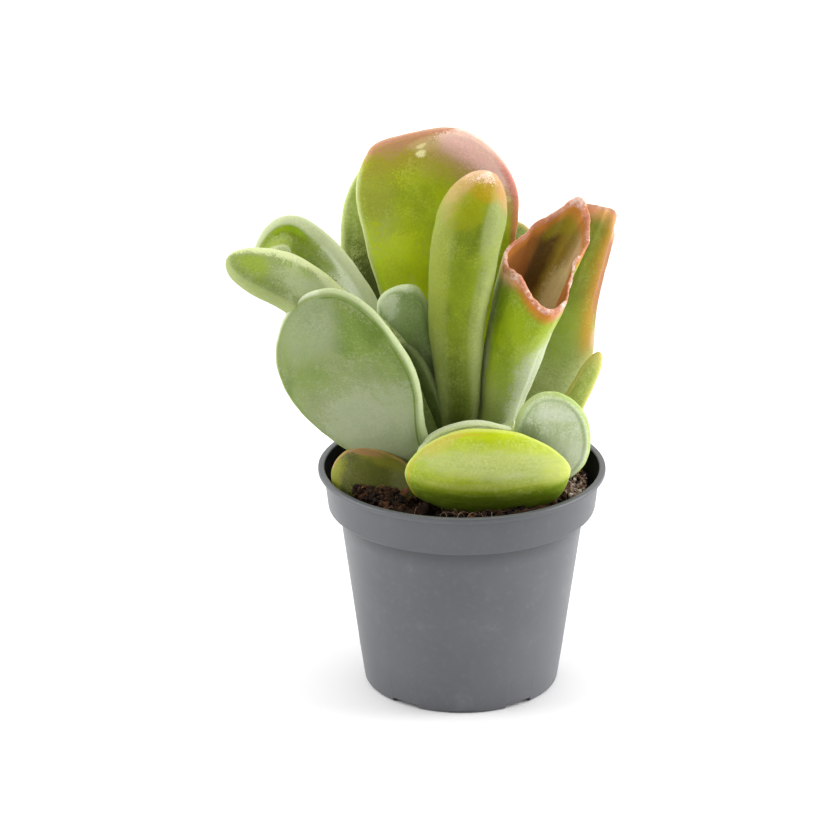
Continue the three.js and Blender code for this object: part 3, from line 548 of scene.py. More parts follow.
def tip_closing(t, start, power):
    if t <= start:
        return 1.0
    x = (t - start) / (1 - start)
    return max(0.0, 1 - x ** power) ** (1 / power)


def signed_power(value, power):
    return np.sign(value) * np.abs(value) ** power


def lip_point(lip, share):
    p = np.asarray(lip, float)
    n = len(p)
    i = int(share * n) % n
    s = share * n - int(share * n)
    return smooth_value(p[(i - 1) % n], p[i], p[(i + 1) % n], p[(i + 2) % n], s)


# Leaf skins: grids of points, with what the materials need to know at each point

def blade_skin(leaf):
    path = smooth_path(leaf["spine"])
    length = path[1][-1]
    face = np.array(leaf["face"], float)
    face_tip = np.array(leaf.get("face_tip", leaf["face"]), float)
    sides = (leaf["left"], leaf.get("right", leaf["left"]))
    cup_foot, cup_tip = leaf.get("cup", (0, 0))
    start = leaf["round_from"]
    ridge_height, ridge_in, ridge_width = leaf.get("ridge", (0.0, 1.0, 0.5))
    straight = BLADE_ALONG // 2
    closing = BLADE_ALONG - straight
    places = [start * i / straight for i in range(straight)]
    for i in [*range(closing), closing - 0.4]:
        places.append(start + (1 - start) * math.sin(math.pi / 2 * i / closing))
    angle = -2 * math.pi * np.arange(BLADE_AROUND) / BLADE_AROUND
    fullness = 2 / leaf.get("edge", EDGE_POWER)
    across = signed_power(np.cos(angle), fullness)
    lift = signed_power(np.sin(angle), fullness)

    def half_widths(t):
        closed = tip_closing(t, start, leaf.get("round", TIP_POWER))
        widths = np.array([station_value(stations, t) for stations in sides]) * closed
        for bump_t, bump_side, height, reach_mm in leaf.get("bumps", []):
            widths[max(bump_side, 0)] += height * math.exp(-((t - bump_t) * length / reach_mm) ** 2)
        return widths

    points, marks = [], []
    for t in places:
        left, right = half_widths(t)
        step = min(0.01, (1 - t) / 2)
        slopes = (half_widths(t + step) - half_widths(max(t - step, 0))) / (2 * step * length)
        half = station_value(leaf["thick"], t) / 2 * tip_closing(t, start, THIN_POWER)
        up, side = frame_on(path, t, face * (1 - t) + face_tip * t)
        cup = cup_foot * (1 - t) + cup_tip * t + 1e-5
        reach = np.where(across > 0, right, left)
        slope = np.where(across > 0, slopes[1], slopes[0])
        from_side = (1 - np.abs(across)) * reach / np.sqrt(1 + slope ** 2)
        from_tip = (1 - t) * length
        from_edge = from_side * from_tip / np.cbrt(from_side ** 3 + from_tip ** 3 + 1e-9)
        ridge = ridge_height * np.exp(-((from_edge - ridge_in) / ridge_width) ** 2)
        thickness = lift * half + np.where(lift > 0, ridge * np.clip(lift * 3, 0, 1), 0)
        bend = cup * across
        sideways = reach * np.sin(bend) / cup - thickness * np.sin(bend)
        upwards = reach * (1 - np.cos(bend)) / abs(cup) * np.sign(cup) + thickness * np.cos(bend)
        points.append(point_on(path, t) + np.outer(sideways, side) + np.outer(upwards, up))
        marks.append(np.stack([np.full(BLADE_AROUND, t), across, from_edge, lift], 1))
    return np.array(points), np.array(marks)


def noise_step(p):
    """A smooth random step: the same noise read at three shifts."""
    return np.array([noise.noise(Vector(p) + Vector(shift)) for shift in LIP_SHIFTS])


def trumpet_skin(leaf):
    path = smooth_path(leaf["spine"])
    length = path[1][-1]
    face = np.array(leaf["face"], float)
    angle = 2 * math.pi * np.arange(TRUMPET_AROUND) / TRUMPET_AROUND

    def tube(s):
        up, side = frame_on(path, s, face)
        radius = station_value(leaf["radius"], s)
        ring = np.outer(np.cos(angle) * leaf["squash"], up) + np.outer(np.sin(angle), side)
        return point_on(path, s) + radius * ring

    lip = np.array([lip_point(leaf["lip"], k / TRUMPET_AROUND) for k in range(TRUMPET_AROUND)])
    for k in range(TRUMPET_AROUND):
        lip[k] += sum(noise_step(lip[k] * per_mm) * height for per_mm, height in LIP_WAVES)
    to_lip = lip - tube(1)
    fold = np.zeros((TRUMPET_AROUND, 1))
    for fold_turn, fold_width, fold_mm in leaf["folds"]:
        off = (angle / (2 * math.pi) - fold_turn + 0.5) % 1 - 0.5
        fold[:, 0] += fold_mm * np.exp(-(off / fold_width) ** 2)

    def folded(s):
        """How much the wall swells outwards near the lip."""
        return fold * math.exp(-((1 - s) * length / FOLD_REACH) ** 2)

    def outer(s):
        x = max(0.0, (s - leaf["lip_from"]) / (1 - leaf["lip_from"]))
        ring = tube(s) + (0.5 * x + 0.5 * x * x * (3 - 2 * x)) * to_lip
        return ring + units(ring - ring.mean(0)) * folded(s)

    def marked(s, inside):
        return np.stack([
            np.full(TRUMPET_AROUND, s),
            np.sin(angle),
            np.full(TRUMPET_AROUND, (1 - s) * length),
            np.full(TRUMPET_AROUND, inside),
            np.cos(angle),
        ], 1)

    points, marks = [], []
    for i in range(TRUMPET_ALONG):
        s = math.sin(math.pi / 2 * i / TRUMPET_ALONG)
        points.append(outer(s))
        marks.append(marked(s, 0.0))
    # The lip is a half round between the outer and the inner skin.
    rim = outer(1.0)
    inward = units(rim.mean(0) - rim)
    beyond = units(rim - outer(0.97))
    half = (TRUMPET_WALL + fold) / 2
    for i in range(LIP_STEPS + 1):
        turn = math.pi * i / LIP_STEPS
        points.append(rim + inward * half * (1 - math.cos(turn)) + (beyond * half * 0.9) * math.sin(turn))
        marks.append(marked(1.0, min(1.0, max(0.0, i / LIP_STEPS * 1.4 - 0.2))))
    inside = int(TRUMPET_ALONG * 0.6)
    for i in range(1, inside + 1):
        x = i / inside
        s = 1 - (1 - leaf["funnel_to"]) * x
        ring = outer(s)
        middle = ring.mean(0)
        distance = np.linalg.norm(ring - middle, axis=1, keepdims=True)
        shrink = math.sqrt(max(1 - x ** 3, 0.0004))
        kept = np.maximum(1 - (TRUMPET_WALL + folded(s)) / distance, 0.1)
        points.append(middle + (ring - middle) * kept * shrink)
        marks.append(marked(s, 1.0))
    return np.array(points), np.array(marks)


def ruffled(points, amount, seed):
    """Slow swells along the surface normals, so that no leaf is a perfect form."""
    rows, around = points.shape[:2]
    along = np.gradient(points, axis=0)
    across = np.roll(points, -1, axis=1) - np.roll(points, 1, axis=1)
    normal = np.cross(across, along)
    size = np.linalg.norm(normal, axis=2, keepdims=True)
    normal = normal / np.maximum(size, 1e-9)
    swell = np.empty((rows, around))
    offset = Vector((seed * 7.3, seed * 3.1, seed * 1.7))
    for i in range(rows):
        for k in range(around):
            p = Vector(points[i, k])
            slow = noise.noise(p * 0.11 + offset)
            quick = noise.noise(p * 0.45 + offset)
            swell[i, k] = slow + 0.35 * quick
    fade = np.minimum(1, np.arange(rows)[::-1] / (rows * 0.04) + 0.05)[:, None]
    return points + normal * (swell * amount * fade)[:, :, None]


MARK_NAMES = ["along", "across", "from_edge_mm", "side", "facing"]


def add_object(name, data):
    obj = bpy.data.objects.new(name, data)
    bpy.context.scene.collection.objects.link(obj)
    return obj


def add_mark(mesh, name, values):
    """A number for each point, which a material reads by its name."""
    layer = mesh.attributes.new(name, "FLOAT", "POINT")
    layer.data.foreach_set("value", values.astype(np.float32))


def tube_faces(rows, around, start=0):
    """The quads between rings of points."""
    faces = []
    for i, k in itertools.product(range(rows - 1), range(around)):
        a, b = start + i * around + k, start + i * around + (k + 1) % around
        faces.append((a, b, b + around, a + around))
    return faces


def mesh_object(name, points, faces, marks=None):
    mesh = bpy.data.meshes.new(name)
    mesh.from_pydata((np.asarray(points) * MM).tolist(), [], faces)
    mesh.update()
    for mark, values in zip(MARK_NAMES, [] if marks is None else marks.T):
        add_mark(mesh, mark, values)
    for polygon in mesh.polygons:
        polygon.use_smooth = True
    return add_object(name, mesh)


def grid_object(name, points, marks=None):
    """A closed skin from rings of points, with a point in the middle of each end."""
    rows, around = points.shape[:2]
    flat = points.reshape(-1, 3)
    ends = np.array([points[0].mean(0), points[-1].mean(0)])
    faces = tube_faces(rows, around)
    first, last = rows * around, rows * around + 1
    top = (rows - 1) * around
    for k in range(around):
        after = (k + 1) % around
        faces.append((first, after, k))
        faces.append((last, top + k, top + after))
    if marks is not None:
        marks = marks.reshape(-1, marks.shape[-1])
        marks = np.vstack([marks, marks[0], marks[-1]])
    return mesh_object(name, np.vstack([flat, ends]), faces, marks)


# Materials

def linear(screen_colour):
    """A 0..255 screen colour as the linear one that the shader takes."""
    out = []
    for value in screen_colour:
        share = value / 255
        out.append(share / 12.92 if share <= 0.04045 else ((share + 0.055) / 1.055) ** 2.4)
    return tuple(out)


class Nodes:
    """A short way to write the node tree of a material or of the world."""

    def __init__(self, owner, shader="Principled BSDF"):
        owner.use_nodes = True
        self.owner = owner
        self.tree = owner.node_tree
        self.shader = self.tree.nodes[shader]

    def add(self, kind, values=None, **settings):
        node = self.tree.nodes.new(kind)
        for key, value in settings.items():
            setattr(node, key, value)
        for key, value in (values or {}).items():
            self.put(node.inputs[key], value)
        return node

    def put(self, socket, value):
        if isinstance(value, bpy.types.NodeSocket):
            self.tree.links.new(value, socket)
        elif isinstance(value, tuple) and len(value) == 3 and socket.type == "RGBA":
            socket.default_value = (*linear(value), 1)
        else:
            socket.default_value = value

    def mark(self, name):
        return self.add("ShaderNodeAttribute", attribute_name=name).outputs["Fac"]

    def place(self):
        return self.add("ShaderNodeTexCoord").outputs["Object"]

    def math(self, operation, *values, clamp=False):
        node = self.add("ShaderNodeMath", dict(enumerate(values)), operation=operation, use_clamp=clamp)
        return node.outputs[0]

    def times(self, a, b, clamp=False):
        return self.math("MULTIPLY", a, b, clamp=clamp)

    def plus(self, a, b):
        return self.math("ADD", a, b)

    def minus(self, a, b):
        return self.math("SUBTRACT", a, b)

    def scaled(self, a, by, onto):
        """One value times a number, added onto another."""
        return self.math("MULTIPLY_ADD", a, by, onto)

    def swing(self, a, by, onto):
        """The same for a noise, which swings either side of a half."""
        return self.scaled(self.minus(a, 0.5), by, onto)

    def apart(self, a, b):
        return self.math("ABSOLUTE", self.minus(a, b))

    def mix(self, share, a, b):
        node = self.add("ShaderNodeMix", {0: share, 6: a, 7: b}, data_type="RGBA")
        return node.outputs[2]

    def ramp(self, value, low, high, to_low=0.0, to_high=1.0):
        ends = {"Value": value, "From Min": low, "From Max": high, "To Min": to_low, "To Max": to_high}
        return self.add("ShaderNodeMapRange", ends, interpolation_type="SMOOTHSTEP").outputs[0]

    def noise(self, vector, scale, detail=4.0, roughness=0.55, distortion=0.0):
        node = self.add("ShaderNodeTexNoise", {
            "Vector": vector,
            "Scale": scale,
            "Detail": detail,
            "Roughness": roughness,
            "Distortion": distortion,
        })
        return node.outputs["Fac"]

    def bump(self, height, strength, distance, normal=None):
        node = self.add("ShaderNodeBump", {"Strength": strength, "Distance": distance, "Height": height})
        if normal is not None:
            self.put(node.inputs["Normal"], normal)
        return node.outputs[0]

    def shade(self, values):
        """Sets or links the shader's inputs, and hands over the material or world."""
        for key, value in values.items():
            self.put(self.shader.inputs[key], value)
        return self.owner


def material_nodes(name):
    return Nodes(bpy.data.materials.new(name))


def zone(n, spec, marks, uneven, full_to, gone_at):
    """A soft oval with an uneven edge: its strength out to full_to, nothing beyond gone_at."""
    middle_t, middle_a, half_t, half_a, strength = spec
    along, across = marks
    dt = n.math("DIVIDE", n.minus(along, middle_t), half_t)
    da = n.math("DIVIDE", n.minus(across, middle_a), half_a)
    square = n.plus(n.times(dt, dt), n.times(da, da))
    return n.ramp(n.plus(n.math("SQRT", square), uneven), full_to, gone_at, strength, 0.0)


def on_side(n, share, across, side):
    """Keeps a share on one margin only."""
    if side == 0:
        return share
    return n.times(share, n.ramp(n.times(across, side), -0.25, 0.25))


def leaf_material(name, look):
    n = material_nodes("mat_" + name)
    trumpet = "lip" in look
    place = n.place()
    along, across, from_edge, side = [n.mark(mark) for mark in MARK_NAMES[:4]]
    broad, rub, speck, grain = [n.noise(place, *spec) for spec in LEAF_NOISES.values()]
    if trumpet:
        # A trumpet's marks hold the sine and the cosine of the turn, so that it has no seam.
        facing = n.mark("facing")
        run_x, run_z = n.times(facing, 2.2), n.times(across, 2.2)
        turn = n.math("DIVIDE", n.math("ARCTAN2", across, facing), 2 * math.pi)
        past_half = n.times(n.math("LESS_THAN", turn, 0.0), n.math("GREATER_THAN", side, 0.5))
        across = n.plus(turn, past_half)
    else:
        run_x, run_z = n.times(across, 6.0), side
    stipple = n.swing(grain, 1.2, n.minus(speck, 0.5))
    rough_edge = n.times(stipple, 0.5)
    uneven = n.swing(rub, 1.9, n.times(stipple, 1.3))
    upper = n.ramp(side, -0.4, 0.1)

    def oval(spec, full_to=0.72, gone_at=1.2):
        return zone(n, spec, (along, across), uneven, full_to, gone_at)

    colour = n.mix(n.ramp(broad, 0.32, 0.60), *look["skin"][:2])
    colour = n.mix(n.ramp(n.plus(rub, rough_edge), 0.5, 0.75, 0.0, 0.5), colour, look["skin"][2])
    if "base" in look:
        base_colour, base_from, base_to = look["base"]
        share = n.ramp(n.swing(rub, 0.15, along), base_from, base_to, 0.92, 0.0)
        colour = n.mix(n.times(share, n.scaled(upper, 0.6, 0.4)), colour, base_colour)

    powder_share, bloom_and_highlight_colour = look["bloom_and_highlight"]
    patch = n.ramp(n.plus(rub, n.times(rough_edge, 0.5)), 0.43, 0.60, 0.55, 1.0)
    run = n.add("ShaderNodeCombineXYZ", {"X": run_x, "Y": n.times(along, 3.0), "Z": run_z})
    brushed = n.noise(run.outputs[0], 1.0, 6, 0.62, 0.4)
    bloom_and_highlight = n.times(n.times(patch, n.ramp(brushed, 0.34, 0.62, 0.62, 1.12)), powder_share)
    # More bloom at both margins and in the given spots, partly painted highlight.
    if "sides" in look:
        outward = n.math("ABSOLUTE", across)
        bloom_and_highlight = n.plus(bloom_and_highlight, n.times(n.ramp(outward, 0.3, 0.9), look["sides"]))
    for spec in look.get("more_bloom_and_highlight", []):
        bloom_and_highlight = n.plus(bloom_and_highlight, oval(spec))
    for spec in look.get("rubbed", []):
        bloom_and_highlight = n.times(bloom_and_highlight, n.minus(1.0, oval(spec)))
    bloom_and_highlight = n.times(bloom_and_highlight, n.ramp(speck, 0.3, 0.7, 0.88, 1.08), clamp=True)
    if trumpet:
        bloom_and_highlight = n.times(bloom_and_highlight, n.ramp(side, 0.2, 0.7, 1.0, 0.0))
        bloom_and_highlight = n.times(bloom_and_highlight, n.ramp(from_edge, look["band"] * 0.5, look["band"] * 2.0))
    colour = n.mix(bloom_and_highlight, colour, bloom_and_highlight_colour)
    if "streaks" in look:
        run = n.add("ShaderNodeCombineXYZ", {"X": n.times(across, 2.2), "Y": n.times(along, 34.0)})
        streak = n.noise(run.outputs[0], 1.0, 5, 0.6)
        colour = n.mix(n.ramp(streak, 0.45, 0.70, 0.0, look["streaks"] * 0.5), colour, look["skin"][2])
        colour = n.mix(n.ramp(streak, 0.30, 0.50, look["streaks"] * 0.4, 0.0), colour, look["skin"][0])

    for tip_colour, tip_from, tip_to, lean, strength in look.get("tips", []):
        leaning = n.scaled(uneven, 0.06, n.scaled(across, lean, along))
        share = n.times(n.ramp(leaning, tip_from, tip_to, 0.0, strength), n.scaled(upper, 0.5, 0.5))
        colour = n.mix(share, colour, tip_colour)
    for patch_colour, spec in look.get("patches", []):
        if trumpet:
            share = n.times(oval(spec, 0.3, 1.4), n.minus(1.0, side))
        else:
            share = n.times(oval(spec), upper)
        colour = n.mix(share, colour, patch_colour)
    if trumpet:
        colour = trumpet_colours(n, look, colour, (along, across, from_edge, side), (uneven, rub, speck))
    colour = margin_colours(n, look, colour, (along, across, from_edge, side), (uneven, rub))

    tone = n.scaled(stipple, 0.32, 1.0)
    if "under" in look:
        tone = n.times(tone, n.ramp(side, -0.4, 0.1, look["under"], 1.0))
    toned = n.add("ShaderNodeHueSaturation", {"Value": tone, "Color": colour})
    relief = n.scaled(rub, 0.8, n.times(speck, 0.35))
    glow_weight, glow_metres = look.get("glow", (0.12, 0.0012))
    return n.shade({
        "Base Color": toned.outputs[0],
        "Roughness": n.scaled(speck, 0.12, n.scaled(bloom_and_highlight, 0.22, 0.40)),
        "Subsurface Weight": glow_weight,
        "Subsurface Radius": (0.7, 1.0, 0.1),
        "Subsurface Scale": glow_metres,
        "Sheen Weight": 0.03,
        "Sheen Roughness": 0.4,
        "Sheen Tint": (0.90, 0.96, 0.82, 1),
        "Specular IOR Level": 0.16,
        "Normal": n.bump(grain, 0.25, 0.00005, n.bump(relief, 0.5, 0.00022)),
    })


def margin_colours(n, look, colour, marks, noises):
    """The coloured rims along the leaf's margins, and the thin lines inside them."""
    along, across, from_edge, side = marks
    uneven, rub = noises
    for rim_colour, width, strength, rim_side, *stretch in look.get("rims", []):
        share = n.ramp(n.scaled(uneven, 0.3 * width, from_edge), 0.25 * width, width, strength, 0.0)
        if stretch:
            share = n.times(share, n.ramp(along, *stretch))
        colour = n.mix(on_side(n, share, across, rim_side), colour, rim_colour)
    for line_colour, line_in, width, strength, line_side in look.get("lines", []):
        share = n.ramp(n.apart(from_edge, line_in), 0.2 * width, width, strength, 0.0)
        share = n.times(share, n.ramp(side, 0.05, 0.35))
        share = n.times(share, n.ramp(rub, 0.40, 0.52, 0.35, 1.0))
        colour = n.mix(on_side(n, share, across, line_side), colour, line_colour)
    return colour


def trumpet_colours(n, look, colour, marks, noises):
    """The tube's outer band under the lip, the lip itself and the funnel."""
    along, turn, from_lip, inside = marks
    uneven, rub, speck = noises
    band = look["band"]

    def stripes(ground, specs):
        for stripe_colour, middle, half, strength in specs:
            off = n.swing(rub, half, n.apart(turn, middle))
            ground = n.mix(n.ramp(off, 0.4 * half, 1.3 * half, strength, 0.0), ground, stripe_colour)
        return ground

    depth = n.swing(speck, 1.2, n.swing(rub, 3.0, from_lip))
    under_lip = n.mix(n.ramp(speck, 0.45, 0.75, 0.0, 0.3), look["lip"], look["lip_rim"])
    under_lip = stripes(under_lip, look["band_stripes"])
    outer = n.mix(n.ramp(depth, band * 0.2, band * 1.7, 1.0, 0.0), colour, under_lip)
    inner = stripes(look["inside"], look.get("inner_stripes", []))
    for patch_colour, spec in look.get("inner_patches", []):
        inner = n.mix(zone(n, spec, (along, turn), n.times(uneven, 0.45), 0.72, 1.2), inner, patch_colour)
    # The funnel is painted darker with depth, for the shade down in it.
    funnel_shade_colour, funnel_shade_from, funnel_shade_to = look["funnel_shade"]
    inner = n.mix(n.ramp(depth, funnel_shade_from, funnel_shade_to), inner, funnel_shade_colour)
    inner = n.mix(n.ramp(depth, 0.3 * band, band, 0.85, 0.0), inner, look["lip_inside"])
    inner = n.mix(n.ramp(speck, 0.55, 0.8, 0.0, 0.15), inner, look["lip_inside"])
    colour = n.mix(n.ramp(inside, 0.4, 0.9), outer, inner)
    # The lip's pale crest: bloom and painted highlight in noisy spots.
    frost_and_highlight_share = n.ramp(n.plus(rub, n.times(speck, 0.3)), 0.58, 0.76)
    if "bare_lip" in look:
        # The far wall's lip, seen from the front, gets less of the painted highlight than the rest.
        frost_and_highlight_share = n.times(frost_and_highlight_share, n.ramp(n.apart(turn, look["bare_lip"]), 0.06, 0.16, 0.25, 1.0))
    lip_frost_and_highlight = n.mix(frost_and_highlight_share, look["lip_rim"], look["frost_and_highlight"])
    return n.mix(n.ramp(from_lip, 0.0, 0.9, 0.85, 0.0), colour, lip_frost_and_highlight)


def pot_material():
    n = material_nodes("mat_pot")
    place = n.place()
    height = n.add("ShaderNodeSeparateXYZ", {"Vector": place}).outputs["Z"]
    broad = n.noise(place, 38, 3, 0.5)
    fine = n.noise(place, 700, 4, 0.6)
    dust = n.noise(place, 160, 6, 0.7)
    colour = n.mix(n.ramp(broad, 0.3, 0.7), (86, 88, 92), (95, 97, 101))
    colour = n.mix(n.times(n.ramp(fine, 0.5, 0.75), 0.2), colour, (116, 118, 121))
    colour = n.mix(n.times(n.ramp(dust, 0.55, 0.75), 0.12), colour, (150, 148, 144))
    # The collar is painted a little darker than the wall, and a painted shadow darkens the wall just under
    # it.
    edge = ((COLLAR_FOOT_Z - 0.2) * MM, (COLLAR_FOOT_Z + 0.2) * MM)
    painted_collar_shade = n.ramp(height, *edge, 0.0, 0.2)
    under = n.ramp(height, (COLLAR_FOOT_Z - COLLAR_SHADE) * MM, COLLAR_FOOT_Z * MM, 0.0, 0.65)
    under = n.times(under, n.ramp(height, *edge, 1.0, 0.0))
    colour = n.mix(n.plus(painted_collar_shade, under), colour, (54, 56, 58))
    return n.shade({
        "Base Color": colour,
        "Roughness": n.scaled(fine, 0.16, 0.34),
        "Specular IOR Level": 0.5,
        "Normal": n.bump(fine, 0.3, 0.00005, n.bump(broad, 0.1, 0.0004)),
    })


def pot_inside_material():
    """The wall above the soil: a damp stain, and painted shade for the dark inside of the pot."""
    n = material_nodes("mat_pot_inside")
    stain_and_shade = n.noise(n.place(), 500, 5, 0.6)
    return n.shade({
        "Base Color": n.mix(n.ramp(stain_and_shade, 0.35, 0.65), (13, 12, 11), (30, 28, 25)),
        "Roughness": n.scaled(stain_and_shade, 0.2, 0.7),
        "Specular IOR Level": 0.08,
        "Normal": n.bump(stain_and_shade, 0.4, 0.0001),
    })


def soil_material(name, dark, light, share):
    """Peat or grains: dark to light by each piece's own tone, for its share, and by a noise for the rest."""
    n = material_nodes(name)
    place = n.place()
    coarse = n.noise(place, 420, 5, 0.65)
    grain = n.noise(place, 2600, 4, 0.7)
    mixed = n.scaled(n.mark("tone"), share, n.times(n.ramp(coarse, 0.4, 0.7), 1 - share))
    return n.shade({
        "Base Color": n.mix(mixed, dark, light),
        "Roughness": n.scaled(grain, 0.3, 0.62),
        "Specular IOR Level": 0.2,
        "Normal": n.bump(grain, 0.8, 0.0003, n.bump(coarse, 0.7, 0.0008)),
    })


def stem_material():
    n = material_nodes("mat_stem")
    place = n.place()
    broad = n.noise(place, 160, 4, 0.6)
    ridges = n.noise(place, 900, 4, 0.6)
    return n.shade({
        "Base Color": n.mix(n.ramp(broad, 0.35, 0.65), (104, 110, 50), (148, 148, 96)),
        "Roughness": n.scaled(ridges, 0.2, 0.45),
        "Normal": n.bump(ridges, 0.5, 0.0003),
    })


# Pieces

def show(obj, material, slot, *nodes):
    obj.data.materials.append(material)
    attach(obj, "root")
    if nodes:
        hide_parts(*nodes)


def build_leaves():
    for seed, (name, leaf) in enumerate(LEAVES.items()):
        points, marks = trumpet_skin(leaf) if "lip" in leaf else blade_skin(leaf)
        skin = grid_object(name + "_skin", ruffled(points, LEAF_SWELL, seed + 1), marks)
        show(skin, leaf_material(name, LOOKS[name]), LOOKS[name]["slot"], name)


def build_stems():
    material = stem_material()
    for name, stem in STEMS.items():
        rows, around = 60, 40
        points = np.empty((rows, around, 3))
        for i in range(rows):
            z = stem["from"] + (stem["to"] - stem["from"]) * i / (rows - 1)
            end = min(i, rows - 1 - i) / 4
            closing = math.sqrt(1 - (1 - min(1, end)) ** 2) if end < 1 else 1
            knot = 1 + 0.06 * math.exp(-((z % 6 - 3) / 0.8) ** 2)
            for k in range(around):
                turn = 2 * math.pi * k / around
                swell = noise.noise(Vector((math.cos(turn) * 2, math.sin(turn) * 2, z * 0.35)))
                radius = stem["radius"] * max(closing, 0.05) * knot * (1 + 0.04 * swell)
                points[i, k] = (stem["x"] + radius * math.cos(turn), stem["y"] + radius * math.sin(turn), z)
        show(grid_object(name + "_skin", points), material, "stem", name)


def wall_radius(z):
    return WALL_FOOT_RADIUS + (WALL_TOP_RADIUS - WALL_FOOT_RADIUS) * z / COLLAR_FOOT_Z


def rounded(corners, steps=5):
    """The line through (radius, height, rounding) corners, without its two ends."""
    spots = [np.array(corner[:2], float) for corner in corners]
    line = []
    for i in range(1, len(corners) - 1):
        p, rounding = spots[i], corners[i][2]
        if rounding == 0:
            line.append(p)
            continue
        before, after = spots[i - 1] - p, spots[i + 1] - p
        cut = min(rounding, 0.49 * np.linalg.norm(before), 0.49 * np.linalg.norm(after))
        a, b = p + unit(before) * cut, p + unit(after) * cut
        for step in range(steps + 1):
            s = step / steps
            line.append((1 - s) ** 2 * a + 2 * s * (1 - s) * p + s * s * b)
    return line


def foot_lift(angle_deg):
    """How far the foot ring is cut away at this angle."""
    lift = 0.0
    for middle, width, height in FOOT_GAPS + FOOT_NOTCHES:
        off = abs((angle_deg - middle + 180) % 360 - 180)
        if off < width / 2:
            lift = max(lift, height * min(1.0, (width / 2 - off) / 0.25))
    return lift


def build_pot():
    lip_foot = POT_HEIGHT - LIP_DEPTH
    inner_top = RIM_RADIUS - LIP_THICKNESS
    inner_foot = COLLAR_FOOT_RADIUS - WALL
    ledge_top = COLLAR_FOOT_Z + LEDGE_THICKNESS
    # From the middle of the underside out, up the wall, over the rim and down the inside
    corners = [
        (0, 0, 0), (REST_PAD_RADIUS, 0, 0.2), (REST_PAD_RADIUS + 0.6, FOOT_GAP_HEIGHT, 0.2),
        (FOOT_INNER_RADIUS, FOOT_GAP_HEIGHT, 0.2), (FOOT_INNER_RADIUS + 0.4, 0, 0.25),
        (wall_radius(0) - 0.1, 0, 0.75), *[(wall_radius(z), z, 0) for z in (8, 20, 32)],
        (WALL_TOP_RADIUS, COLLAR_FOOT_Z, 0.8), (COLLAR_FOOT_RADIUS, COLLAR_FOOT_Z, 0.75),
        (COLLAR_TOP_RADIUS, lip_foot - 0.1, 0.3), (RIM_RADIUS, lip_foot, 0.4), (RIM_RADIUS, POT_HEIGHT, 0.42),
        (inner_top, POT_HEIGHT, 0.4), (inner_top - 0.08, POT_HEIGHT - 0.7, 0), (inner_foot, ledge_top, 0.6),
        (WALL_TOP_RADIUS - WALL, ledge_top, 0.5), (wall_radius(FLOOR_TOP_Z) - WALL, FLOOR_TOP_Z, 0.6),
        (0, FLOOR_TOP_Z, 0),
    ]
    line = rounded(corners)
    angles = set(np.linspace(-180, 180, POT_AROUND, endpoint=False).round(3))
    for middle, width, _ in FOOT_GAPS + FOOT_NOTCHES:
        for edge in (middle - width / 2, middle + width / 2):
            for shift in (-0.02, 0.0, 0.25, -0.25):
                angles.add(round((edge + shift + 180) % 360 - 180, 3))
    angles = sorted(angles)
    points = np.empty((len(line), len(angles), 3))
    for k, angle in enumerate(angles):
        lift = foot_lift(angle)
        turn = math.radians(angle)
        for i, (r, z) in enumerate(line):
            if r > FOOT_INNER_RADIUS - 0.5 and z < lift:
                z = lift
            points[i, k] = (*on_circle(r, turn), z)
    pot = grid_object("pot_body", points)
    cut_drains(pot)
    show(pot, pot_material(), "pot", "pot")
    pot.data.materials.append(pot_inside_material())
    # The inner wall above the ledge takes the damp stain with painted shade.
    for polygon in pot.data.polygons:
        x, y, z = np.array(polygon.center) / MM
        inner_wall = inner_foot + (inner_top - inner_foot) * (z - ledge_top) / (POT_HEIGHT - ledge_top)
        if ledge_top < z < POT_HEIGHT - STAIN_AND_SHADE_DROP and math.hypot(x, y) < inner_wall + STAIN_AND_SHADE_MARGIN:
            polygon.material_index = 1


def cut_drains(pot):
    """The drain holes are drilled through the floor."""
    circle = [on_circle(DRAIN_RADIUS, 2 * math.pi * k / 40) for k in range(40)]
    for i in range(DRAIN_COUNT):
        x, y = on_circle(DRAIN_RING_RADIUS, 2 * math.pi * i / DRAIN_COUNT)
        rows = [[(x + dx, y + dy, z) for dx, dy in circle] for z in (-1.0, FLOOR_TOP_Z + 1)]
        drill = grid_object("drill", np.array(rows))
        modifier = pot.modifiers.new("drain", "BOOLEAN")
        modifier.operation = "DIFFERENCE"
        modifier.solver = "EXACT"
        modifier.object = drill
        view = bpy.context.evaluated_depsgraph_get()
        cut = bpy.data.meshes.new_from_object(pot.evaluated_get(view))
        pot.modifiers.clear()
        pot.data = cut
        bpy.data.objects.remove(drill)
    pot.data.name = "pot_body"
    pot.data.set_sharp_from_angle(angle=math.radians(38))


def soil_height(x, y):
    waves = math.sin(x * 0.31 + 0.8) * math.cos(y * 0.27 - 0.5) + 0.5 * math.sin(x * 0.11 - y * 0.47)
    mounds = 0.0
    for mound_x, mound_y, reach, height in SOIL_MOUNDS:
        mounds += height * math.exp(-((x - mound_x) ** 2 + (y - mound_y) ** 2) / reach ** 2)
    return SOIL_TOP_Z + 0.66 * waves + mounds


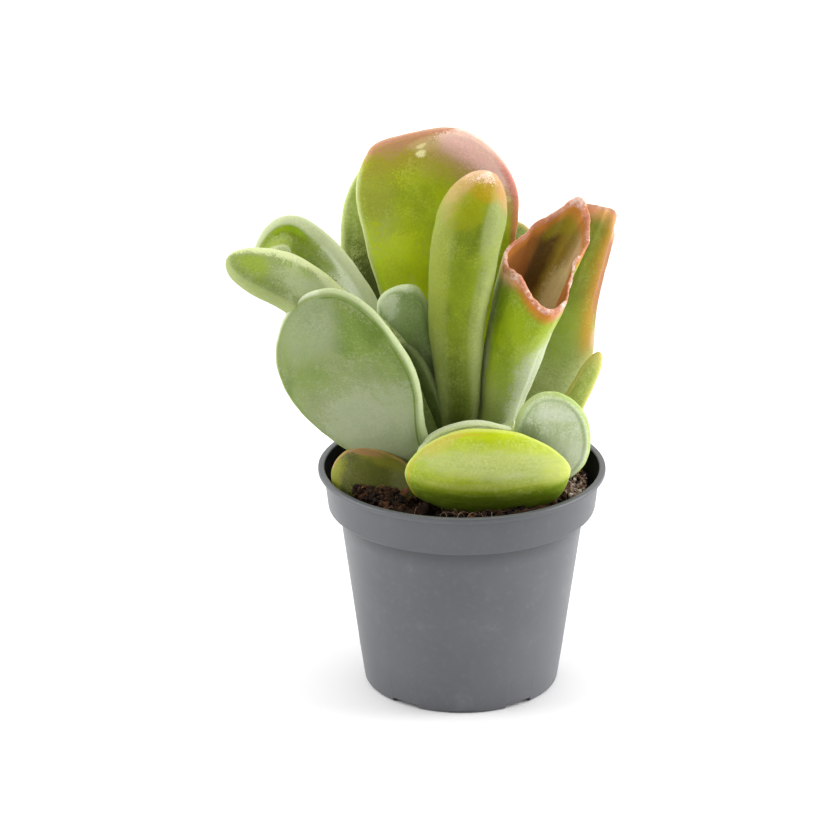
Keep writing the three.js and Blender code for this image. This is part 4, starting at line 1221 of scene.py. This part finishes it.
def build_soil():
    ledge = COLLAR_FOOT_Z + LEDGE_THICKNESS + 0.3
    foot, inset = 2.6, 1.4
    under = [
        (wall_radius(foot) - inset, foot), (WALL_TOP_RADIUS - inset, ledge),
        (COLLAR_FOOT_RADIUS - 1.6, ledge + 0.4),
    ]
    points = []
    turns = 2 * math.pi * np.arange(SOIL_AROUND) / SOIL_AROUND
    for r, z in under:
        points.append(np.stack([r * np.cos(turns), r * np.sin(turns), np.full(SOIL_AROUND, z)], 1))
    for i in range(SOIL_RINGS):
        r = SOIL_RADIUS * (1 - (i / (SOIL_RINGS - 0.5)) ** 1.1)
        ring = []
        for k in range(SOIL_AROUND):
            x, y = on_circle(r, 2 * math.pi * k / SOIL_AROUND)
            p = Vector((x, y, 0))
            lumps = noise.noise(p * 0.35) * 0.9 + noise.noise(p * 0.9 + Vector((9, 2, 4))) * 0.7
            crumbs = noise.noise(p * 2.6 + Vector((3, 8, 1))) * 0.35
            droop = -1.2 * max(0.0, (r - 24) / (SOIL_RADIUS - 24)) ** 2
            ring.append((x, y, soil_height(x, y) + lumps + crumbs + droop))
        points.append(np.array(ring))
    body = grid_object("soil_body", np.array(points))
    add_mark(body.data, "tone", np.full(len(body.data.vertices), 0.2))
    show(body, soil_material("mat_soil", (8, 5, 3), (46, 30, 20), 0.5), "soil", "soil")


def crumb_shape(seed, steps):
    """A rough crumb about one unit across: a subdivided box pushed onto a lumpy ball."""
    points, faces, index = [], [], {}

    def vertex(p):
        key = tuple(np.round(p, 5))
        if key not in index:
            index[key] = len(points)
            q = unit(np.array(p, float))
            bump = noise.noise(Vector(q) * 1.9 + Vector((seed * 5.1, 0, 0)))
            points.append(q * (0.5 + 0.42 * bump))
        return index[key]

    for axis, sign, i, k in itertools.product(range(3), (-1, 1), range(steps), range(steps)):
        corners = []
        for di, dk in ((0, 0), (1, 0), (1, 1), (0, 1)):
            p = [0.0, 0.0, 0.0]
            p[axis] = sign
            p[(axis + 1) % 3] = 2 * (i + di) / steps - 1
            p[(axis + 2) % 3] = 2 * (k + dk) / steps - 1
            corners.append(vertex(p))
        faces.append(tuple(corners if sign > 0 else corners[::-1]))
    return np.array(points), faces


def turn_matrix():
    """A random turn, with every direction equally likely."""
    w, x, y, z = unit(rng.normal(size=4))
    return np.array([
        [1 - 2 * (y * y + z * z), 2 * (x * y - z * w), 2 * (x * z + y * w)],
        [2 * (x * y + z * w), 1 - 2 * (x * x + z * z), 2 * (y * z - x * w)],
        [2 * (x * z - y * w), 2 * (y * z + x * w), 1 - 2 * (x * x + y * y)],
    ])


def scatter(name, count, sizes, flatness, where, material, lift, steps=2):
    """One piece of many crumbs. Each lies above the soil by lift times its own size."""
    shapes = [crumb_shape(s, steps) for s in range(CRUMB_SHAPES)]
    points, faces, tones, start = [], [], [], 0
    for i in range(count):
        x, y = where()
        size = sizes[0] + (sizes[1] - sizes[0]) * rng.uniform(0, 1) ** 2
        shape, polygons = shapes[i % len(shapes)]
        stretch = np.array([rng.uniform(0.7, 2.2), rng.uniform(0.6, 1.2), rng.uniform(flatness, 1.0)]) * size
        placed = (shape * stretch) @ turn_matrix().T + np.array([x, y, soil_height(x, y) + lift * size])
        points.append(placed)
        faces.extend(tuple(c + start for c in polygon) for polygon in polygons)
        tones.append(np.full(len(placed), rng.uniform(0, 1) ** 3))
        start += len(placed)
    obj = mesh_object(name, np.vstack(points), faces)
    add_mark(obj.data, "tone", np.concatenate(tones))
    show(obj, material, "soil")


def anywhere(radius):
    def place():
        r = radius * math.sqrt(rng.uniform(0, 1))
        return on_circle(r, rng.uniform(0, 2 * math.pi))
    return place


def near(x, y, spread, radius):
    def place():
        while True:
            px, py = rng.normal(x, spread), rng.normal(y, spread)
            if math.hypot(px, py) < radius:
                return px, py
    return place


def build_crumbs():
    peat = soil_material("mat_peat", (7, 4, 2), (130, 86, 56), 0.8)
    scatter("soil_crumbs", 3800, (0.25, 1.3), 0.3, anywhere(SOIL_RADIUS - 0.5), peat, 0.35)
    scatter("soil_clods", 200, (1.2, 3.0), 0.5, anywhere(SOIL_RADIUS - 1.4), peat, 0.2, 4)
    scatter("soil_front_clods", 700, (0.2, 1.6), 0.3, near(14, -21.5, 4.5, SOIL_RADIUS - 1), peat, 0.9, 3)
    scatter("soil_left_clods", 700, (0.2, 1.6), 0.3, near(-18.5, -15, 4.2, SOIL_RADIUS - 0.6), peat, 0.8, 3)
    grains = soil_material("mat_grains", (124, 90, 74), (255, 240, 228), 0.85)
    scatter("soil_grains_right", 520, (0.25, 1.1), 0.5, near(22.3, -6, 3.2, SOIL_RADIUS - 0.5), grains, 1.2)
    scatter("soil_grains", 200, (0.2, 0.6), 0.5, anywhere(SOIL_RADIUS - 0.6), grains, 1.1)


def build_fibres():
    """Thin bent root and peat fibres lying on the soil."""
    sides, steps = 5, 9
    outermost = SOIL_RADIUS - 0.4
    points, faces, tones = [], [], []
    for _ in range(FIBRE_COUNT):
        x, y = anywhere(SOIL_RADIUS - 1.0)()
        heading = rng.uniform(0, 2 * math.pi)
        length = rng.uniform(1.0, 5.0)
        radius = rng.uniform(0.03, 0.10)
        bend = rng.normal(0, 0.9)
        arch = rng.uniform(0.2, 1.5)
        base = len(points)
        for i in range(steps):
            s = i / (steps - 1)
            turn = heading + bend * s
            px, py = x + length * s * math.cos(turn), y + length * s * math.sin(turn)
            reach = math.hypot(px, py)
            if reach > outermost:
                px, py = px * outermost / reach, py * outermost / reach
            z = soil_height(px, py) + 0.7 + arch * math.sin(math.pi * s)
            side = np.array([-math.sin(turn), math.cos(turn), 0])
            thin = radius * (1 - 0.6 * s)
            for k in range(sides):
                a = 2 * math.pi * k / sides
                outwards = math.cos(a) * side + math.sin(a) * np.array([0, 0, 1])
                points.append(np.array([px, py, z]) + thin * outwards)
        faces.extend(tube_faces(steps, sides, base))
        faces.append(tuple(base + k for k in range(sides))[::-1])
        faces.append(tuple(base + (steps - 1) * sides + k for k in range(sides)))
        tones.append(np.full(sides * steps, rng.uniform(0.1, 1.0)))
    obj = mesh_object("soil_fibres", np.array(points), faces)
    add_mark(obj.data, "tone", np.concatenate(tones))
    show(obj, soil_material("mat_fibres", (36, 22, 14), (214, 180, 146), 0.8), "soil")


# Stage

def build_stage():
    floor_mesh = bpy.data.meshes.new("floor")
    corners = [(x * FLOOR_HALF, y * FLOOR_HALF, 0) for x, y in ((-1, -1), (1, -1), (1, 1), (-1, 1))]
    floor_mesh.from_pydata(corners, [], [(0, 1, 2, 3)])
    floor = add_object("floor", floor_mesh)
    n = material_nodes("mat_floor")
    floor_mesh.materials.append(n.shade({
        "Base Color": (FLOOR_TONE, FLOOR_TONE, FLOOR_TONE, 1),
        "Roughness": 0.9,
    }))

    n = Nodes(bpy.data.worlds.new("studio"), "Background")
    direction = n.add("ShaderNodeTexCoord").outputs["Generated"]
    backwards = n.add("ShaderNodeSeparateXYZ", {"Vector": direction}).outputs["Y"]
    bpy.context.scene.world = n.shade({
        "Color": (1, 1, 1, 1),
        "Strength": n.ramp(backwards, -0.95, 0.0, WORLD_FRONT, WORLD_BACK),
    })

    sun = light("overhead", "SUN", SUN_STRENGTH, Vector(SUN_TOWARDS))
    sun.data.angle = SUN_ANGLE
    for name, (place, power) in LAMPS.items():
        lamp = light(name, "AREA", power, Vector(place) - Vector(LAMP_AIM))
        lamp.location = place
        lamp.data.shape = "DISK"
        lamp.data.size = LAMP_SIZE


def light(name, kind, energy, towards):
    """A light that lies in this direction from what it shines on."""
    data = bpy.data.lights.new(name, kind)
    data.energy = energy
    obj = add_object(name, data)
    obj.rotation_euler = towards.to_track_quat("Z", "Y").to_euler()
    return obj


def build_camera():
    data = bpy.data.cameras.new("camera")
    camera = add_object("camera", data)
    data.lens = CAMERA_LENS
    data.sensor_width = CAMERA_SENSOR
    data.clip_end = 20
    camera.location = Vector((
        CAMERA_SIDE,
        -CAMERA_DISTANCE * math.cos(CAMERA_TILT),
        CAMERA_AIM_Z + CAMERA_DISTANCE * math.sin(CAMERA_TILT),
    )) * MM
    camera.rotation_euler = (math.pi / 2 - CAMERA_TILT, 0, 0)
    bpy.context.scene.camera = camera


build_leaves()
build_stems()
build_pot()
build_soil()
build_crumbs()
build_fibres()
build_stage()
build_camera()
bpy.context.scene.view_settings.view_transform = "Standard"
